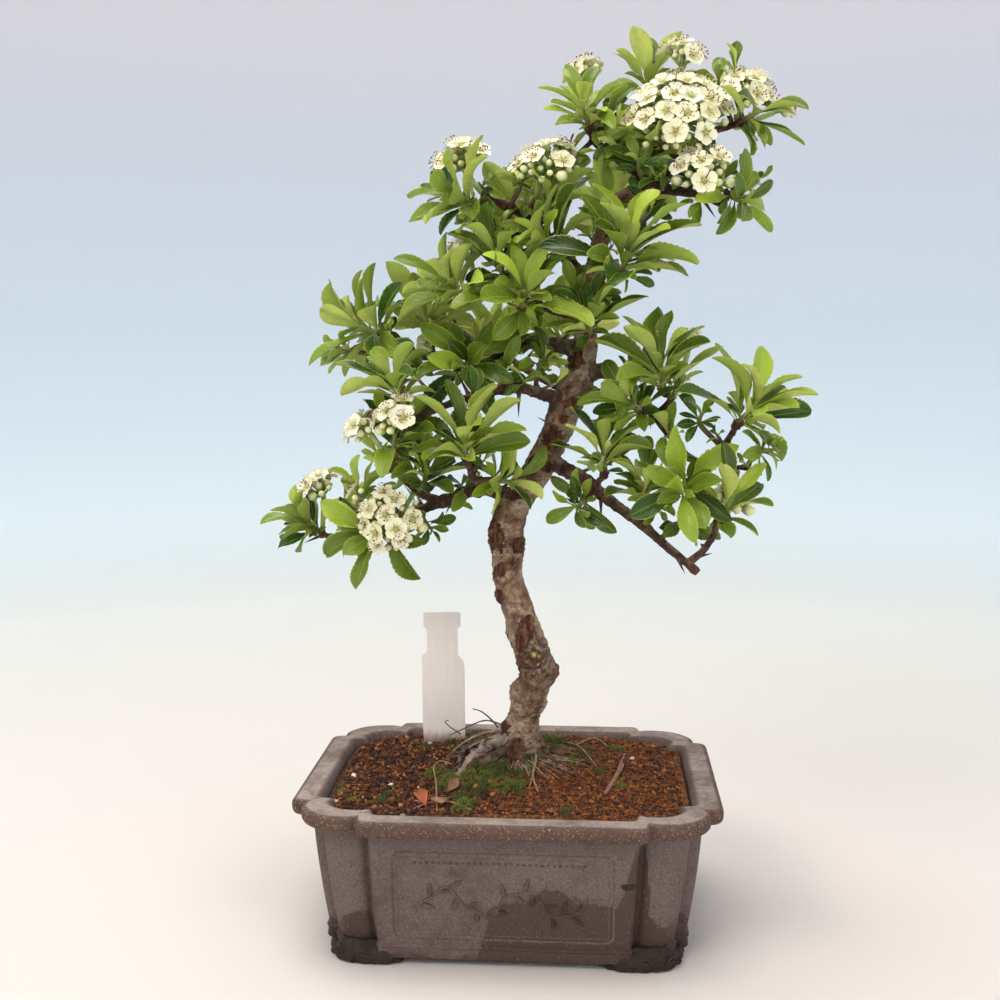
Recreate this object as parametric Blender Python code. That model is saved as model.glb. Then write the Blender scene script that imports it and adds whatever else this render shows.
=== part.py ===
"""Flowering pyracantha bonsai in a rectangular unglazed pot.

Sizes are in millimetres until a mesh is made, then in metres, +Z up.
The tree was read off one photograph, so its points are given as a column
and a row of that picture and a depth, and spot() turns them into space.
"""
import math
import random

import bmesh
import bpy
from mathutils import Euler, Matrix, Vector
from mathutils.bvhtree import BVHTree

# Picture geometry of the photograph
EYE = Vector((32.3, -533.0, 238.8))
YAW = math.radians(4.0)
PITCH = math.radians(6.87)
FOCAL = 1320.0
SHIFT = Vector((0.0, 0.0, 0.0))

# Pot
POT_HALF_X = 84.0
POT_HALF_Y = 66.0
NOTCH_X = 54.0
NOTCH_Y = 42.0
NOTCH_SLOPE = 0.42
LOBE_STEP = 4.8
LOBE_RADIUS = 17.0
FOOT_HEIGHT = 2.6
WALL_LOW_Z = 8.2
WALL_TOP_Z = 51.0
WALL_LOW_INSET = 13.2
WALL_TOP_INSET = 7.8
RIM_TOP_Z = 61.2
RIM_WIDTH = 11.0
FLOOR_Z = 9.0
FLOOR_INSET = 18.0
DRAIN_RADIUS = 8.0
DRAIN_X = 38.0

# Soil
SOIL_GAP = 0.3
SOIL_EDGE_Z = 57.4
MOUND_HEIGHT = 11.0
MOUND_SPREAD = 30.0
TRUNK_FOOT = Vector((4.0, 0.0, 0.0))
PLUG_RADIUS = 8.6
PLUG_BOTTOM_Z = 47.0
HOLE_RADIUS = 9.25
HOLE_BOTTOM_Z = 46.4

# Plant label
LABEL_AT = Vector((-32.4, 38.0, 60.0))
LABEL_THICK = 1.0
LABEL_LEAN = math.radians(1.4)
LABEL_TILT = math.radians(2.9)
SLOT_SIZE = Vector((19.9, 30.0, 1.7))
SLOT_DEPTH = 9.4

# Share by which leaves turn up towards the light
LIFT = 0.4

# Columns: picture column, picture row, depth behind the trunk foot, radius in picture dots
TRUNK = [
    (524, 715, 0, 15.8), (529, 697, -1, 16.6), (536, 676, -1.5, 17.2), (534, 656, -1.5, 18.2),
    (526, 634, -1, 16.4), (519, 612, 0, 15.4), (511.5, 590, 1, 14.8), (507.5, 566, 1.5, 15.2),
    (508, 542, 1.5, 15.6), (511, 520, 1, 15.2), (517.5, 501, 0.5, 14.2), (529, 484, 0, 14.6),
    (541, 464, -0.5, 14.8), (551, 444, -0.5, 14.8), (560, 422, 0, 15.2), (570, 398, 0.5, 16),
    (579, 374, 1, 15.4), (584, 352, 1, 12.8), (587, 330, 0.5, 10.4), (589, 307, 0, 9.8),
    (591, 284, -0.5, 9.4), (597, 256, -1, 9), (605, 228, -1, 8.6), (617, 206, -2, 8.4),
    (634, 192, -3, 8.2), (654, 186, -4, 8),
]
# Columns: height above the floor, turn round the trunk in degrees, swelling in mm
KNOBS = [
    (104.0, -5, 2.6), (93.5, 186, 2.2), (130.5, -30, 2.0), (110.0, -90, 2.2), (120.5, 184, 1.6),
    (160.5, 205, 2.4), (156.5, -40, 1.6), (136.5, 215, 1.4), (205.0, -60, 1.2),
]

# Branches as lists of picture column, picture row, depth; then start and end radius in mm
BRANCHES = [
    ([(552, 461, -1), (568, 471, -6), (585, 480, -10), (605, 497, -14), (640, 523, -20),
      (665, 545, -26), (690, 566, -30), (698, 573, -31)], 3.5, 1.1),
    ([(688, 563, -30), (702, 552, -32), (711, 540, -34), (716, 530, -35)], 1.7, 1.0),
    ([(588, 374, 0), (604, 371, -4), (620, 379, -7), (640, 400, -10), (655, 415, -13),
      (672, 437, -17), (690, 458, -21), (715, 463, -25), (748, 469, -31)], 3.6, 0.8),
    ([(706, 462, -23), (717, 452, -25), (728, 440, -26), (731, 434, -27)], 1.8, 1.1),
    ([(655, 415, -13), (664, 408, -14), (672, 398, -15)], 1.7, 1.1),
    ([(578, 350, 2), (550, 344, 5), (515, 343, 8), (480, 350, 11), (443, 355, 13),
      (412, 355, 15), (392, 339, 15)], 3.4, 1.3),
    ([(418, 355, 14), (398, 356, 15), (377, 355, 15.5)], 1.5, 0.5),
    ([(564, 398, -1), (545, 395, -7), (519, 388, -11), (487, 392, -15), (462, 400, -18),
      (436, 409, -21), (412, 421, -26)], 2.9, 1.1),
    ([(512, 500, 2), (496, 491, 9), (477, 489, 13), (455, 497, 18), (433, 505, 22),
      (398, 518, 30), (362, 532, 37), (340, 538, 41), (322, 534, 43)], 3.4, 1.2),
    ([(440, 502, 21), (420, 493, 15), (403, 478, 8), (392, 470, -2), (390, 462, -12)], 2.0, 1.1),
    ([(590, 287, 0), (570, 262, 0), (550, 241, -1), (530, 219, -2), (506, 206, -3),
      (486, 195, -4)], 2.9, 1.2),
    ([(486, 491, 11), (479, 484, 1), (472, 474, -11), (469, 466, -18)], 1.9, 1.1),
    ([(590, 292, -1), (602, 288, -10), (612, 283, -18), (616, 279, -22)], 2.0, 1.2),
    ([(482, 350, 11), (470, 339, 20), (458, 329, 28)], 1.7, 1.1),
    ([(588, 322, 0), (560, 312, -7), (530, 302, -12), (500, 290, -14), (476, 296, -12)], 2.2, 1.1),
    ([(648, 188, -4), (640, 174, -3), (624, 161, -1), (607, 152, 0), (594, 140, 0),
      (590, 124, -1)], 2.8, 1.2),
    ([(612, 156, -1), (628, 138, 2), (638, 116, 4), (643, 92, 4)], 2.0, 1.1),
    ([(650, 187, -4), (668, 172, -5), (686, 154, -7), (704, 136, -6), (722, 128, -4),
      (738, 124, -3)], 2.7, 1.2),
    ([(652, 187, -5), (672, 190, -7), (700, 195, -9), (722, 205, -10)], 2.6, 1.1),
    ([(580, 372, 4), (576, 364, 15), (570, 354, 26), (566, 346, 35)], 2.4, 1.1),
    ([(592, 270, 1), (594, 254, 10), (600, 234, 20), (604, 217, 29)], 2.2, 1.0),
    ([(572, 392, 3), (550, 382, 16), (524, 368, 29), (504, 354, 39)], 2.4, 1.1),
]
# Thorns: picture column, picture row, depth of the root, then run right, back, up in mm
THORNS = [
    (601, 494, -14, 0, -3, -10), (696, 560, -31, 6, -2, 2), (646, 405, -11, 1, -2, -9),
    (519, 390, -11, 0, -3, -9), (347, 536, 40, -1, -3, -8), (322, 534, 43, -9, 2, -4),
    (470, 397, -17, -4, -2, 8), (438, 406, -21, -4, -3, 7), (492, 349, 10, -2, -2, 9),
    (434, 355, 13, -1, 0, 9), (675, 553, -28, 3, -5, -6), (694, 458, -22, 2, -2, -6),
    (650, 530, -22, -2, 4, 8), (400, 517, 30, 2, 5, 8), (560, 430, -5, -9, -2, 5),
    (590, 300, -1, 9, -3, 4), (700, 195, -9, 5, -4, -8), (575, 392, 6, 5, 9, 3),
    (541, 242, -1, -6, -3, -5), (455, 497, 18, -4, 2, -8),
]
# Surface roots: heading in degrees, length, radius at the trunk, bend in degrees, rise at the trunk
ROOTS = [
    (201, 26, 2.0, 25, 3.4), (229, 31, 2.6, -24, 4.2), (171, 19, 1.5, -28, 3.0), (262, 13, 2.1, 27, 1.2),
    (309, 12, 2.2, 21, 1.0), (347, 14, 2.0, -23, 1.4), (43, 15, 2.0, 26, 1.6), (104, 19, 2.3, -25, 2.2),
]

# Leafy shoots: picture column, row, depth, axis right, back, up, leaves, leaf length in mm
ROSETTES = {
    "a": (645, 82, 3, -0.15, -0.3, 1, 10, 26), "b": (590, 128, -6, -0.35, -0.4, 0.8, 10, 21),
    "c": (744, 118, -4, 0.75, -0.5, 0.35, 7, 25), "d": (664, 146, -10, -0.75, -0.35, 0.45, 7, 25),
    "e": (694, 190, -14, 0.1, -0.6, 0.35, 6, 22), "f": (732, 205, -11, 0.5, -0.6, -0.35, 8, 19),
    "g": (476, 192, -5, -0.7, -0.4, 0.3, 10, 27), "h": (540, 206, -7, 0.1, -0.28, 1, 9, 26),
    "i": (620, 276, -25, 0.25, -0.4, 0.9, 12, 35), "j": (560, 250, -10, -0.8, -0.25, 0.42, 7, 27),
    "k": (500, 280, -17, -0.35, -0.31, 0.97, 8, 28), "l": (466, 298, -12, -0.7, -0.31, 0.57, 8, 27),
    "m": (428, 325, 10, -0.15, -0.25, 1, 8, 29), "n": (386, 336, 12, -0.95, -0.3, 0.3, 8, 30),
    "o": (522, 309, -18, 0.1, -0.46, 0.42, 9, 30), "p": (468, 361, 1, 0.1, -0.7, -0.15, 7, 25),
    "q": (400, 402, -24, -0.4, -0.2, 0.9, 8, 26), "r": (394, 452, -17, 0.1, -0.43, 0.57, 8, 26),
    "s": (467, 461, -22, -0.1, -0.31, 1, 9, 31), "t": (494, 480, -8, 0.9, -0.4, -0.05, 6, 24),
    "u": (318, 531, 41, -0.65, -0.31, 0.57, 9, 24), "v": (384, 524, 18, -0.3, -0.75, -0.35, 8, 29),
    "w": (424, 486, 4, 0.1, -0.43, 0.62, 7, 28), "x": (590, 334, -14, 0, -0.53, 0.57, 8, 25),
    "y": (672, 392, -16, -0.1, -0.22, 1, 10, 31), "z": (734, 430, -27, 0.65, -0.3, 0.75, 9, 31),
    "aa": (646, 410, -17, -0.6, -0.37, 0.57, 7, 25), "ab": (688, 482, -28, -0.2, -0.6, -0.25, 8, 25),
    "ac": (604, 474, -15, -0.05, -0.25, 1, 9, 25), "ad": (643, 502, -24, 0.1, -0.25, 1, 8, 23),
    "ae": (590, 494, -14, -0.35, -0.6, -0.45, 6, 17), "af": (718, 524, -37, 0.35, -0.25, 0.82, 9, 26),
    "ag": (566, 344, 36, 0.1, 0.85, 0.4, 7, 27), "ah": (604, 214, 30, 0.15, 0.85, 0.35, 7, 27),
    "ai": (502, 352, 40, -0.25, 0.85, 0.4, 7, 27), "aj": (522, 226, 10, -0.3, 0.9, 0.3, 7, 28),
    "ak": (646, 160, 10, 0.1, 0.9, 0.35, 7, 27), "al": (446, 322, 32, -0.3, 0.9, 0.35, 7, 27),
}
# Flower heads: picture column, row, depth, axis right, back, up, radius, flowers, buds
CORYMBS = {
    "a": (678, 96, -19, -0.05, -0.75, 0.6, 20.0, 22, 0), "b": (685, 46, 0, 0.1, -0.3, 0.9, 8.0, 4, 0),
    "c": (752, 78, -8, 0.3, -0.5, 0.8, 12.0, 8, 2), "d": (788, 106, 4, 0.85, -0.2, 0.35, 5.0, 2, 2),
    "e": (583, 64, 8, -0.35, -0.2, 0.9, 8.0, 4, 0), "f": (546, 148, -13, -0.1, -0.4, 0.85, 14.5, 11, 1),
    "g": (455, 147, 0, -0.35, -0.25, 0.85, 11.5, 7, 2), "h": (465, 241, 4, -0.25, -0.2, 0.9, 9.0, 5, 1),
    "i": (397, 402, -31, -0.1, -0.45, 0.85, 10.0, 6, 1), "j": (355, 425, -26, -0.7, -0.5, 0.5, 8.0, 4, 1),
    "k": (314, 480, 38, -0.25, -0.3, 0.9, 9.0, 5, 1), "l": (388, 512, -4, -0.15, -0.85, 0.45, 14.5, 12, 1),
    "m": (362, 486, 8, -0.3, -0.4, 0.85, 6.0, 3, 0), "n": (706, 160, -27, 0.05, -0.75, 0.65, 12.5, 7, 3),
    "o": (690, 337, 8, 0.1, -0.2, 0.95, 5.0, 2, 1), "p": (738, 492, -26, 0.3, -0.35, 0.8, 8.5, 3, 5),
    "q": (430, 352, 26, -0.2, 0.8, 0.3, 6.0, 3, 0),
}


def spot(column, row, depth):
    """Return the point seen at a place in the picture and lying at a depth, in mm."""
    across = (column - 500) / FOCAL
    rise = (500 - row) / FOCAL
    sin_p, cos_p = math.sin(PITCH), math.cos(PITCH)
    level = cos_p + rise * sin_p
    reach = (depth - EYE.y) / (math.cos(YAW) * level + math.sin(YAW) * across)
    ahead, aside = reach * level, reach * across
    x = EYE.x - math.sin(YAW) * ahead + math.cos(YAW) * aside
    return Vector((x, depth, EYE.z + reach * (rise * cos_p - sin_p))) + SHIFT


def tube(path, radii, sides, pointed=False, swell=None):
    """Loft rings along a path; return corners and faces of the closed solid."""
    corners, faces = [], []
    side = None
    last = len(path) - 1
    for i, here in enumerate(path):
        along = (path[min(i + 1, last)] - path[max(i - 1, 0)]).normalized()
        if side is None:
            side = along.cross(Vector((0.2, 1.0, 0.1)))
        side = (side - along * side.dot(along)).normalized()
        other = along.cross(side)
        if i == last and pointed:
            corners.append(here.copy())
            break
        for k in range(sides):
            turn = math.tau * k / sides
            ray = side * math.cos(turn) + other * math.sin(turn)
            extra = swell(here, ray, radii[i]) if swell else 0.0
            corners.append(here + ray * (radii[i] + extra))
    rings = last if pointed else last + 1
    for i in range(rings - 1):
        for k in range(sides):
            a, b = i * sides + k, i * sides + (k + 1) % sides
            faces.append((a, b, b + sides, a + sides))
    faces.append(tuple(reversed(range(sides))))
    end = (rings - 1) * sides
    if pointed:
        for k in range(sides):
            faces.append((end + k, end + (k + 1) % sides, len(corners) - 1))
    else:
        faces.append(tuple(range(end, end + sides)))
    return corners, faces


def blade(root, along, face, length, width, fold, curl, grow=0.0, near=None):
    """A curling leaf of few faces with a keel under its rib, split alike above and below."""
    across = along.cross(face).normalized()
    corners = [root - along * 1.1]
    rows = [(0.42, 0.34 * width), (0.77, 0.5 * width)]
    if near:
        rows.insert(0, (near, near * width))
        corners = []
    for s, half in rows:
        bend = curl * s
        here = root + length * (along * math.sin(bend) - face * (1 - math.cos(bend))) / curl
        up = face * math.cos(bend) + along * math.sin(bend)
        edge = here + up * (half * fold + grow)
        corners += [edge + across * (half + grow), edge - across * (half + grow)]
        corners.append(here - up * (0.65 + grow))
    corners.append(root + (length + grow) * (along * math.sin(curl) - face * (1 - math.cos(curl))) / curl)
    if near:
        start = 0
        faces = [(0, 1, 2)]
    else:
        start = 1
        faces = [(0, 1, 2), (0, 3, 1), (0, 2, 3)]
    for i in range(start, len(corners) - 4, 3):
        a, b, c, d, e, f = range(i, i + 6)
        faces += [(b, a, d), (b, d, e), (a, c, f), (a, f, d), (b, e, f), (b, f, c)]
    a, tip = len(corners) - 4, len(corners) - 1
    faces += [(a + 1, a, tip), (a, a + 2, tip), (a + 2, a + 1, tip)]
    return corners, faces


def flower(centre, up, stalk_end, size, turn):
    """A five lobed open flower on a tapering stalk."""
    side = up.cross(Vector((0.3, 0.2, 1.0))).normalized()
    other = up.cross(side)
    corners = [centre + up * 0.7]
    for k in range(10):
        a = turn + math.tau * k / 10
        r = size * (1.0 if k % 2 == 0 else 0.66)
        lift = 1.5 if k % 2 == 0 else 1.1
        corners.append(centre + (side * math.cos(a) + other * math.sin(a)) * r + up * lift)
    for k in range(3):
        a = turn + math.tau * (k / 3 + 0.1)
        corners.append(centre + (side * math.cos(a) + other * math.sin(a)) * 0.75 - up * 0.5)
    corners.append(stalk_end)
    faces = [(0, 1 + k, 1 + (k + 1) % 10) for k in range(10)]
    owner = [0, 0, 0, 1, 1, 1, 2, 2, 2, 0]
    for k in range(10):
        j = (k + 1) % 10
        faces.append((1 + j, 1 + k, 11 + owner[k]))
        if owner[j] != owner[k]:
            faces.append((1 + j, 11 + owner[k], 11 + owner[j]))
    faces += [(11 + (k + 1) % 3, 11 + k, 14) for k in range(3)]
    return corners, faces


def bud(centre, up, stalk_end, size, turn):
    """A round bud tapering into its stalk."""
    side = up.cross(Vector((0.3, 0.2, 1.0))).normalized()
    other = up.cross(side)
    corners = [centre + up * size]
    for k in range(5):
        a = turn + math.tau * k / 5
        corners.append(centre + (side * math.cos(a) + other * math.sin(a)) * size)
    corners.append(stalk_end)
    faces = [(0, 1 + k, 1 + (k + 1) % 5) for k in range(5)]
    faces += [(1 + (k + 1) % 5, 1 + k, 6) for k in range(5)]
    return corners, faces


def tree_of(solid):
    """Search tree over one solid given as corners and faces."""
    return BVHTree.FromPolygons([tuple(c) for c in solid[0]], solid[1])


def box_of(corners, slack=0.0):
    """Lowest and highest corner of a set of points."""
    low = [min(c[i] for c in corners) - slack for i in range(3)]
    high = [max(c[i] for c in corners) + slack for i in range(3)]
    return low, high


class Crowd:
    """Solids already placed, with the owner of each, for clearance tests."""

    def __init__(self):
        self.items = []

    def add(self, solid, owner):
        self.items.append((box_of(solid[0]), tree_of(solid), owner))

    def meets(self, solid, skip=()):
        low, high = box_of(solid[0])
        own = None
        for (lo, hi), tree, owner in self.items:
            if owner in skip:
                continue
            if any(low[i] > hi[i] or high[i] < lo[i] for i in range(3)):
                continue
            own = own or tree_of(solid)
            if own.overlap(tree):
                return True
        return False


# Outline of the pot in plan
def outline(z, inset):
    """Forty four points round the pot: flat sides with stepped round corner lobes."""
    hx, hy = POT_HALF_X - inset, POT_HALF_Y - inset
    nx, ny = NOTCH_X - NOTCH_SLOPE * inset, NOTCH_Y - NOTCH_SLOPE * inset
    radius = LOBE_RADIUS - 0.6 * inset
    lobe_x, lobe_y = hx - LOBE_STEP, hy - LOBE_STEP
    cx, cy = lobe_x - radius, lobe_y - radius
    quarter = [(nx - 1.8, hy), (nx + 0.5, hy - 1.2), (nx + 1.5, lobe_y - 0.7), (nx + 4.2, lobe_y)]
    for angle in (76, 46, 18):
        a = math.radians(angle)
        quarter.append((cx + radius * math.cos(a), cy + radius * math.sin(a)))
    quarter += [(lobe_x, ny + 4.2), (lobe_x - 0.7, ny + 1.5), (hx - 1.2, ny + 0.5), (hx, ny - 1.8)]
    points = [(x, -y) for x, y in quarter]
    points += [(x, y) for x, y in reversed(quarter)]
    points += [(-x, y) for x, y in quarter]
    points += [(-x, -y) for x, y in reversed(quarter)]
    return [Vector((x, y, z)) + SHIFT for x, y in points]


def loft(rings):
    """Close a stack of equal rings into a solid."""
    n = len(rings[0])
    corners = [c for ring in rings for c in ring]
    faces = [tuple(reversed(range(n)))]
    for i in range(len(rings) - 1):
        for k in range(n):
            a, b = i * n + k, i * n + (k + 1) % n
            faces.append((a, b, b + n, a + n))
    faces.append(tuple(range((len(rings) - 1) * n, len(rings) * n)))
    return corners, faces


def mound(x, y):
    """Height of the soil's top above the floor."""
    dx, dy = x - TRUNK_FOOT.x, y - TRUNK_FOOT.y
    swell = MOUND_HEIGHT * math.exp(-(dx * dx + dy * dy) / (2 * MOUND_SPREAD ** 2))
    ripple = 0.35 * math.sin(x * 0.17 + 1.0) * math.cos(y * 0.21) * min(1.0, swell)
    return SOIL_EDGE_Z + swell + ripple


def soil_solid():
    """The soil: pot's inner shape with a gap and a mounded top."""
    rings = []
    for z, inset in ((FLOOR_Z + 0.35, FLOOR_INSET), (48.0, 13.6), (SOIL_EDGE_Z - 0.6, RIM_WIDTH + 1.6)):
        rings.append(outline(z, inset + SOIL_GAP))
    edge = outline(SOIL_EDGE_Z, RIM_WIDTH + 1.7 + SOIL_GAP)
    middle = TRUNK_FOOT + SHIFT
    for scale in (0.965, 0.52, 0.2):
        ring = []
        for c in edge:
            x = middle.x + (c.x - middle.x) * scale
            y = middle.y + (c.y - middle.y) * scale
            top = mound(x - SHIFT.x, y - SHIFT.y) if scale > 0.25 else SOIL_EDGE_Z + MOUND_HEIGHT * 0.93
            ring.append(Vector((x, y, top)))
        rings.append(ring)
    return loft(rings)


# The tree's woody parts
def wood_plan():
    """Lists of tubes for trunk, branches, thorns and surface roots."""
    foot = TRUNK_FOOT + SHIFT
    path = [foot + Vector((0, 0, z)) for z in (PLUG_BOTTOM_Z, 60.0, 71.5, 77.0)]
    radii = [PLUG_RADIUS - 0.6, PLUG_RADIUS, PLUG_RADIUS, 7.4]
    for column, row, depth, radius in TRUNK:
        path.append(spot(column, row, depth))
        radii.append(radius * (path[-1].y + 535 + SHIFT.y) / FOCAL * 1.01)

    def bark(here, ray, radius):
        if here.z < 73:
            return 0.0
        height, turn = here.z, math.atan2(ray.y, ray.x)
        extra = 0.055 * radius * math.sin(3 * turn + height * 0.07) * math.cos(height * 0.31)
        for level, heading, lift in KNOBS:
            off = math.remainder(turn - math.radians(heading), math.tau)
            extra += lift * math.exp(-((height - level) / 5.0) ** 2 - (off / 0.55) ** 2)
        return extra

    solids = [tube(path, radii, 10, swell=bark)]
    for points, thick, thin in BRANCHES:
        way = [spot(*p) for p in points]
        last = len(way) - 1
        sizes = [thick + (thin - thick) * (i / last) ** 0.8 for i in range(last + 1)]
        wobble = [1 + 0.10 * math.sin(i * 2.4 + thick * 3) for i in range(last + 1)]
        solids.append(tube(way, [s * w for s, w in zip(sizes, wobble)], 5))
    stems = tree_of(join(solids))
    for column, row, depth, right, back, up in THORNS:
        hit, normal, _, _ = stems.find_nearest(spot(column, row, depth))
        root = hit - normal * 0.9
        run = Vector((right, back, up))
        solids.append(tube([root, root + run * 1.1], [0.95, 0], 3, pointed=True))
    ground = tree_of(soil_solid())
    for heading, length, radius, bend, rise in ROOTS:
        way, sizes = [], []
        for i in range(6):
            f = i / 5
            turn = math.radians(heading + bend * f * f)
            run = 4.0 + length * f
            x, y = foot.x + run * math.cos(turn), foot.y + run * math.sin(turn)
            size = radius * (1 - 0.62 * f)
            top = max(ground.ray_cast(Vector((x + dx, y + dy, 200)), Vector((0, 0, -1)))[0].z
                      for dx, dy in ((0, 0), (size, 0), (-size, 0), (0, size), (0, -size)))
            hop = (1 - f) ** 2 * rise + 0.7 * math.sin(math.pi * f)
            way.append(Vector((x, y, top + size + 0.65 + hop)))
            sizes.append(size)
        solids.append(tube(way, sizes, 5))
    return solids


def join(solids):
    """Put several solids in one list of corners and faces."""
    corners, faces = [], []
    for more, sides in solids:
        start = len(corners)
        corners += more
        faces += [tuple(start + i for i in f) for f in sides]
    return corners, faces


def shoot_path(wood, base):
    """Way from just off the nearest bark to a shoot's base."""
    hit, normal, _, reach = wood.find_nearest(base)
    if reach < 4.0 or (base - hit).dot(normal) < 0:
        base = hit + normal * 4.0
    neck = hit + normal * min(2.2, (base - hit).length * 0.4)
    return [hit + normal * 0.5, neck, base]


def wander(seed, attempt):
    """A small seeded step aside, wider at each attempt."""
    chance = random.Random(7919 * seed + attempt)
    step = 0.25 * attempt
    return Vector((chance.uniform(-step, step), chance.uniform(-step, step), chance.uniform(-step, step)))


def eased(axis, path):
    """Turn an axis towards the way its stem arrives, where the two are at odds."""
    arrival = (path[-1] - path[0]).normalized()
    short = 0.3 - axis.dot(arrival)
    return (axis + arrival * (1.3 * short)).normalized() if short > 0 else axis


def plan_crown(wood_solids):
    """Place shoots, flower heads and leaves so that none crosses another."""
    wood = tree_of(join(wood_solids))
    crowd = Crowd()
    crowd.items.append((box_of(join(wood_solids)[0]), wood, "wood"))
    shoots, heads = {}, {}
    for index, (key, row) in enumerate(CORYMBS.items()):
        size = row[6]
        crest = spot(*row[:3])
        for attempt in range(60):
            nudge = wander(index, attempt)
            axis = Vector(row[3:6]).normalized()
            path = shoot_path(wood, crest - axis * (size * 0.55 + 4.0) + nudge)
            axis, hub = eased(axis, path), path[-1]
            way = path + [hub + axis * (size * 0.42), hub + axis * (size * 0.62)]
            radii = [1.1, 1.0, 1.25, size * 0.55, size * 0.3]
            if not crowd.meets(tube(way, [r + 0.35 for r in radii], 5)):
                break
        heads[key] = {"axis": axis, "hub": hub, "size": size, "core": tube(way, radii, 5)}
        crowd.add(heads[key]["core"], "head " + key)
    for index, (key, row) in enumerate(ROSETTES.items()):
        for attempt in range(60):
            nudge = wander(50 + index, attempt)
            axis = Vector(row[3:6]).normalized()
            path = shoot_path(wood, spot(*row[:3]) + nudge)
            axis = eased(axis, path)
            path.append(path[-1] + axis * (5.0 + 0.55 * row[6]))
            radii = [1.25, 1.15, 1.35, 0.95]
            if not crowd.meets(tube(path, [r + 0.35 for r in radii], 4)):
                break
        shoots[key] = {"axis": axis, "path": path, "core": tube(path, radii, 4)}
        crowd.add(shoots[key]["core"], "shoot " + key)
    for index, (key, head) in enumerate(heads.items()):
        axis, size, hub = head["axis"], head["size"], head["hub"]
        flowers, buds = CORYMBS[key][7:9]
        chance = random.Random(500 + index)
        side = axis.cross(Vector((0.2, 0.1, 1.0))).normalized()
        other = axis.cross(side)
        dome = size * min(1.2, 0.78 + 0.04 * (size - 8))
        centre = hub + axis * (size * 0.55 + 4.0 - dome)
        widest = math.asin(min(0.97, (size - 2.4) / dome))
        head["blooms"] = []
        discs = Crowd()
        total = 3 * flowers + buds
        placed = 0
        for k in range(total):
            open_flower = k < 3 * flowers
            if open_flower and placed == flowers:
                continue
            share = (k + 0.4) / (3 * flowers) if open_flower else 1.0
            polar = widest * math.sqrt(share) * (1.0 if open_flower else 1.14)
            turn = k * 2.39996 + index
            ray = axis * math.cos(polar) + (side * math.cos(turn) + other * math.sin(turn)) * math.sin(polar)
            face = (ray + axis * 0.25).normalized()
            place = centre + ray * (dome + chance.uniform(-0.6, 0.9))
            end = place.lerp(hub + axis * (size * 0.42), 0.84)
            wide = chance.uniform(4.7, 5.4) if open_flower else chance.uniform(1.9, 2.3)
            spin = chance.uniform(0, math.tau)
            kind = flower if open_flower else bud
            if discs.meets(kind(place, face, place - face * 1.2, wide * 0.95, spin)):
                continue
            if crowd.meets(kind(place, face, end, wide + 0.4, spin), skip=("head " + key,)):
                continue
            placed += open_flower
            head["blooms"].append((open_flower, place, face, end, wide, spin))
            discs.add(kind(place, face, place - face * 1.2, wide * 0.95, spin), key)
            crowd.add(kind(place, face, end, wide, spin), "head " + key)
    for index, (key, shoot) in enumerate(shoots.items()):
        count, length = ROSETTES[key][6:8]
        chance = random.Random(900 + index)
        axis, base, tip = shoot["axis"], shoot["path"][2], shoot["path"][3]
        side = axis.cross(Vector((0.2, 0.1, 1.0))).normalized()
        other = axis.cross(side)
        shoot["leaves"] = []
        phase = chance.uniform(0, math.tau)
        for k in range(count):
            level = (k + 0.5) / count
            root = base.lerp(tip, 0.04 + 0.86 * level)
            for attempt in range(46):
                loose = attempt / 46
                turn = phase + k * 2.39996 + chance.uniform(-0.9, 0.9) * (0.25 + loose)
                lean = math.radians(78 - 54 * level + chance.uniform(-12, 12) * (0.6 + 1.6 * loose))
                out = side * math.cos(turn) + other * math.sin(turn)
                along = axis * math.cos(lean) + out * math.sin(lean)
                face = axis * math.sin(lean) - out * math.cos(lean)
                along = (along + Vector((0, 0, LIFT))).normalized()
                roll = along.cross(face) * chance.uniform(-0.6, 0.6)
                face = (face + roll - along * face.dot(along)).normalized()
                long = length * (1 - 0.2 * level) * chance.uniform(0.92, 1.14) * (1 - 0.38 * loose)
                wide = long * chance.uniform(0.32, 0.39)
                curl = chance.uniform(0.15, 0.95)
                leaf = (root, along, face, long, wide, chance.uniform(0.25, 0.55), curl)
                same = ("shoot " + key, "leaves " + key)
                if crowd.meets(blade(*leaf, grow=0.38), skip=same + ("outer " + key,)):
                    continue
                if crowd.meets(blade(*leaf, grow=0.1, near=0.2), skip=same):
                    continue
                shoot["leaves"].append(leaf)
                crowd.add(blade(*leaf), "leaves " + key)
                crowd.add(blade(*leaf, near=0.15), "outer " + key)
                break
    return shoots, heads


# Meshes and materials
def material(name, colour, roughness):
    """A plain surface with a base colour and a roughness."""
    made = bpy.data.materials.new(name)
    made.use_nodes = True
    shader = made.node_tree.nodes["Principled BSDF"]
    shader.inputs["Base Color"].default_value = (*colour, 1.0)
    shader.inputs["Roughness"].default_value = roughness
    shader.inputs["Metallic"].default_value = 0.0
    return made


def put(name, solid, group, surface=None):
    """Make an object in metres from a solid in millimetres."""
    mesh = bpy.data.meshes.new(name)
    mesh.from_pydata([tuple(c * 0.001) for c in solid[0]], [], solid[1])
    mesh.update()
    if surface:
        mesh.materials.append(surface)
    made = bpy.data.objects.new(name, mesh)
    group.objects.link(made)
    return made


def settle(target, kind):
    """Apply the object's one Boolean."""
    with bpy.context.temp_override(object=target, active_object=target, selected_objects=[target]):
        bpy.ops.object.modifier_apply(modifier=kind)


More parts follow.
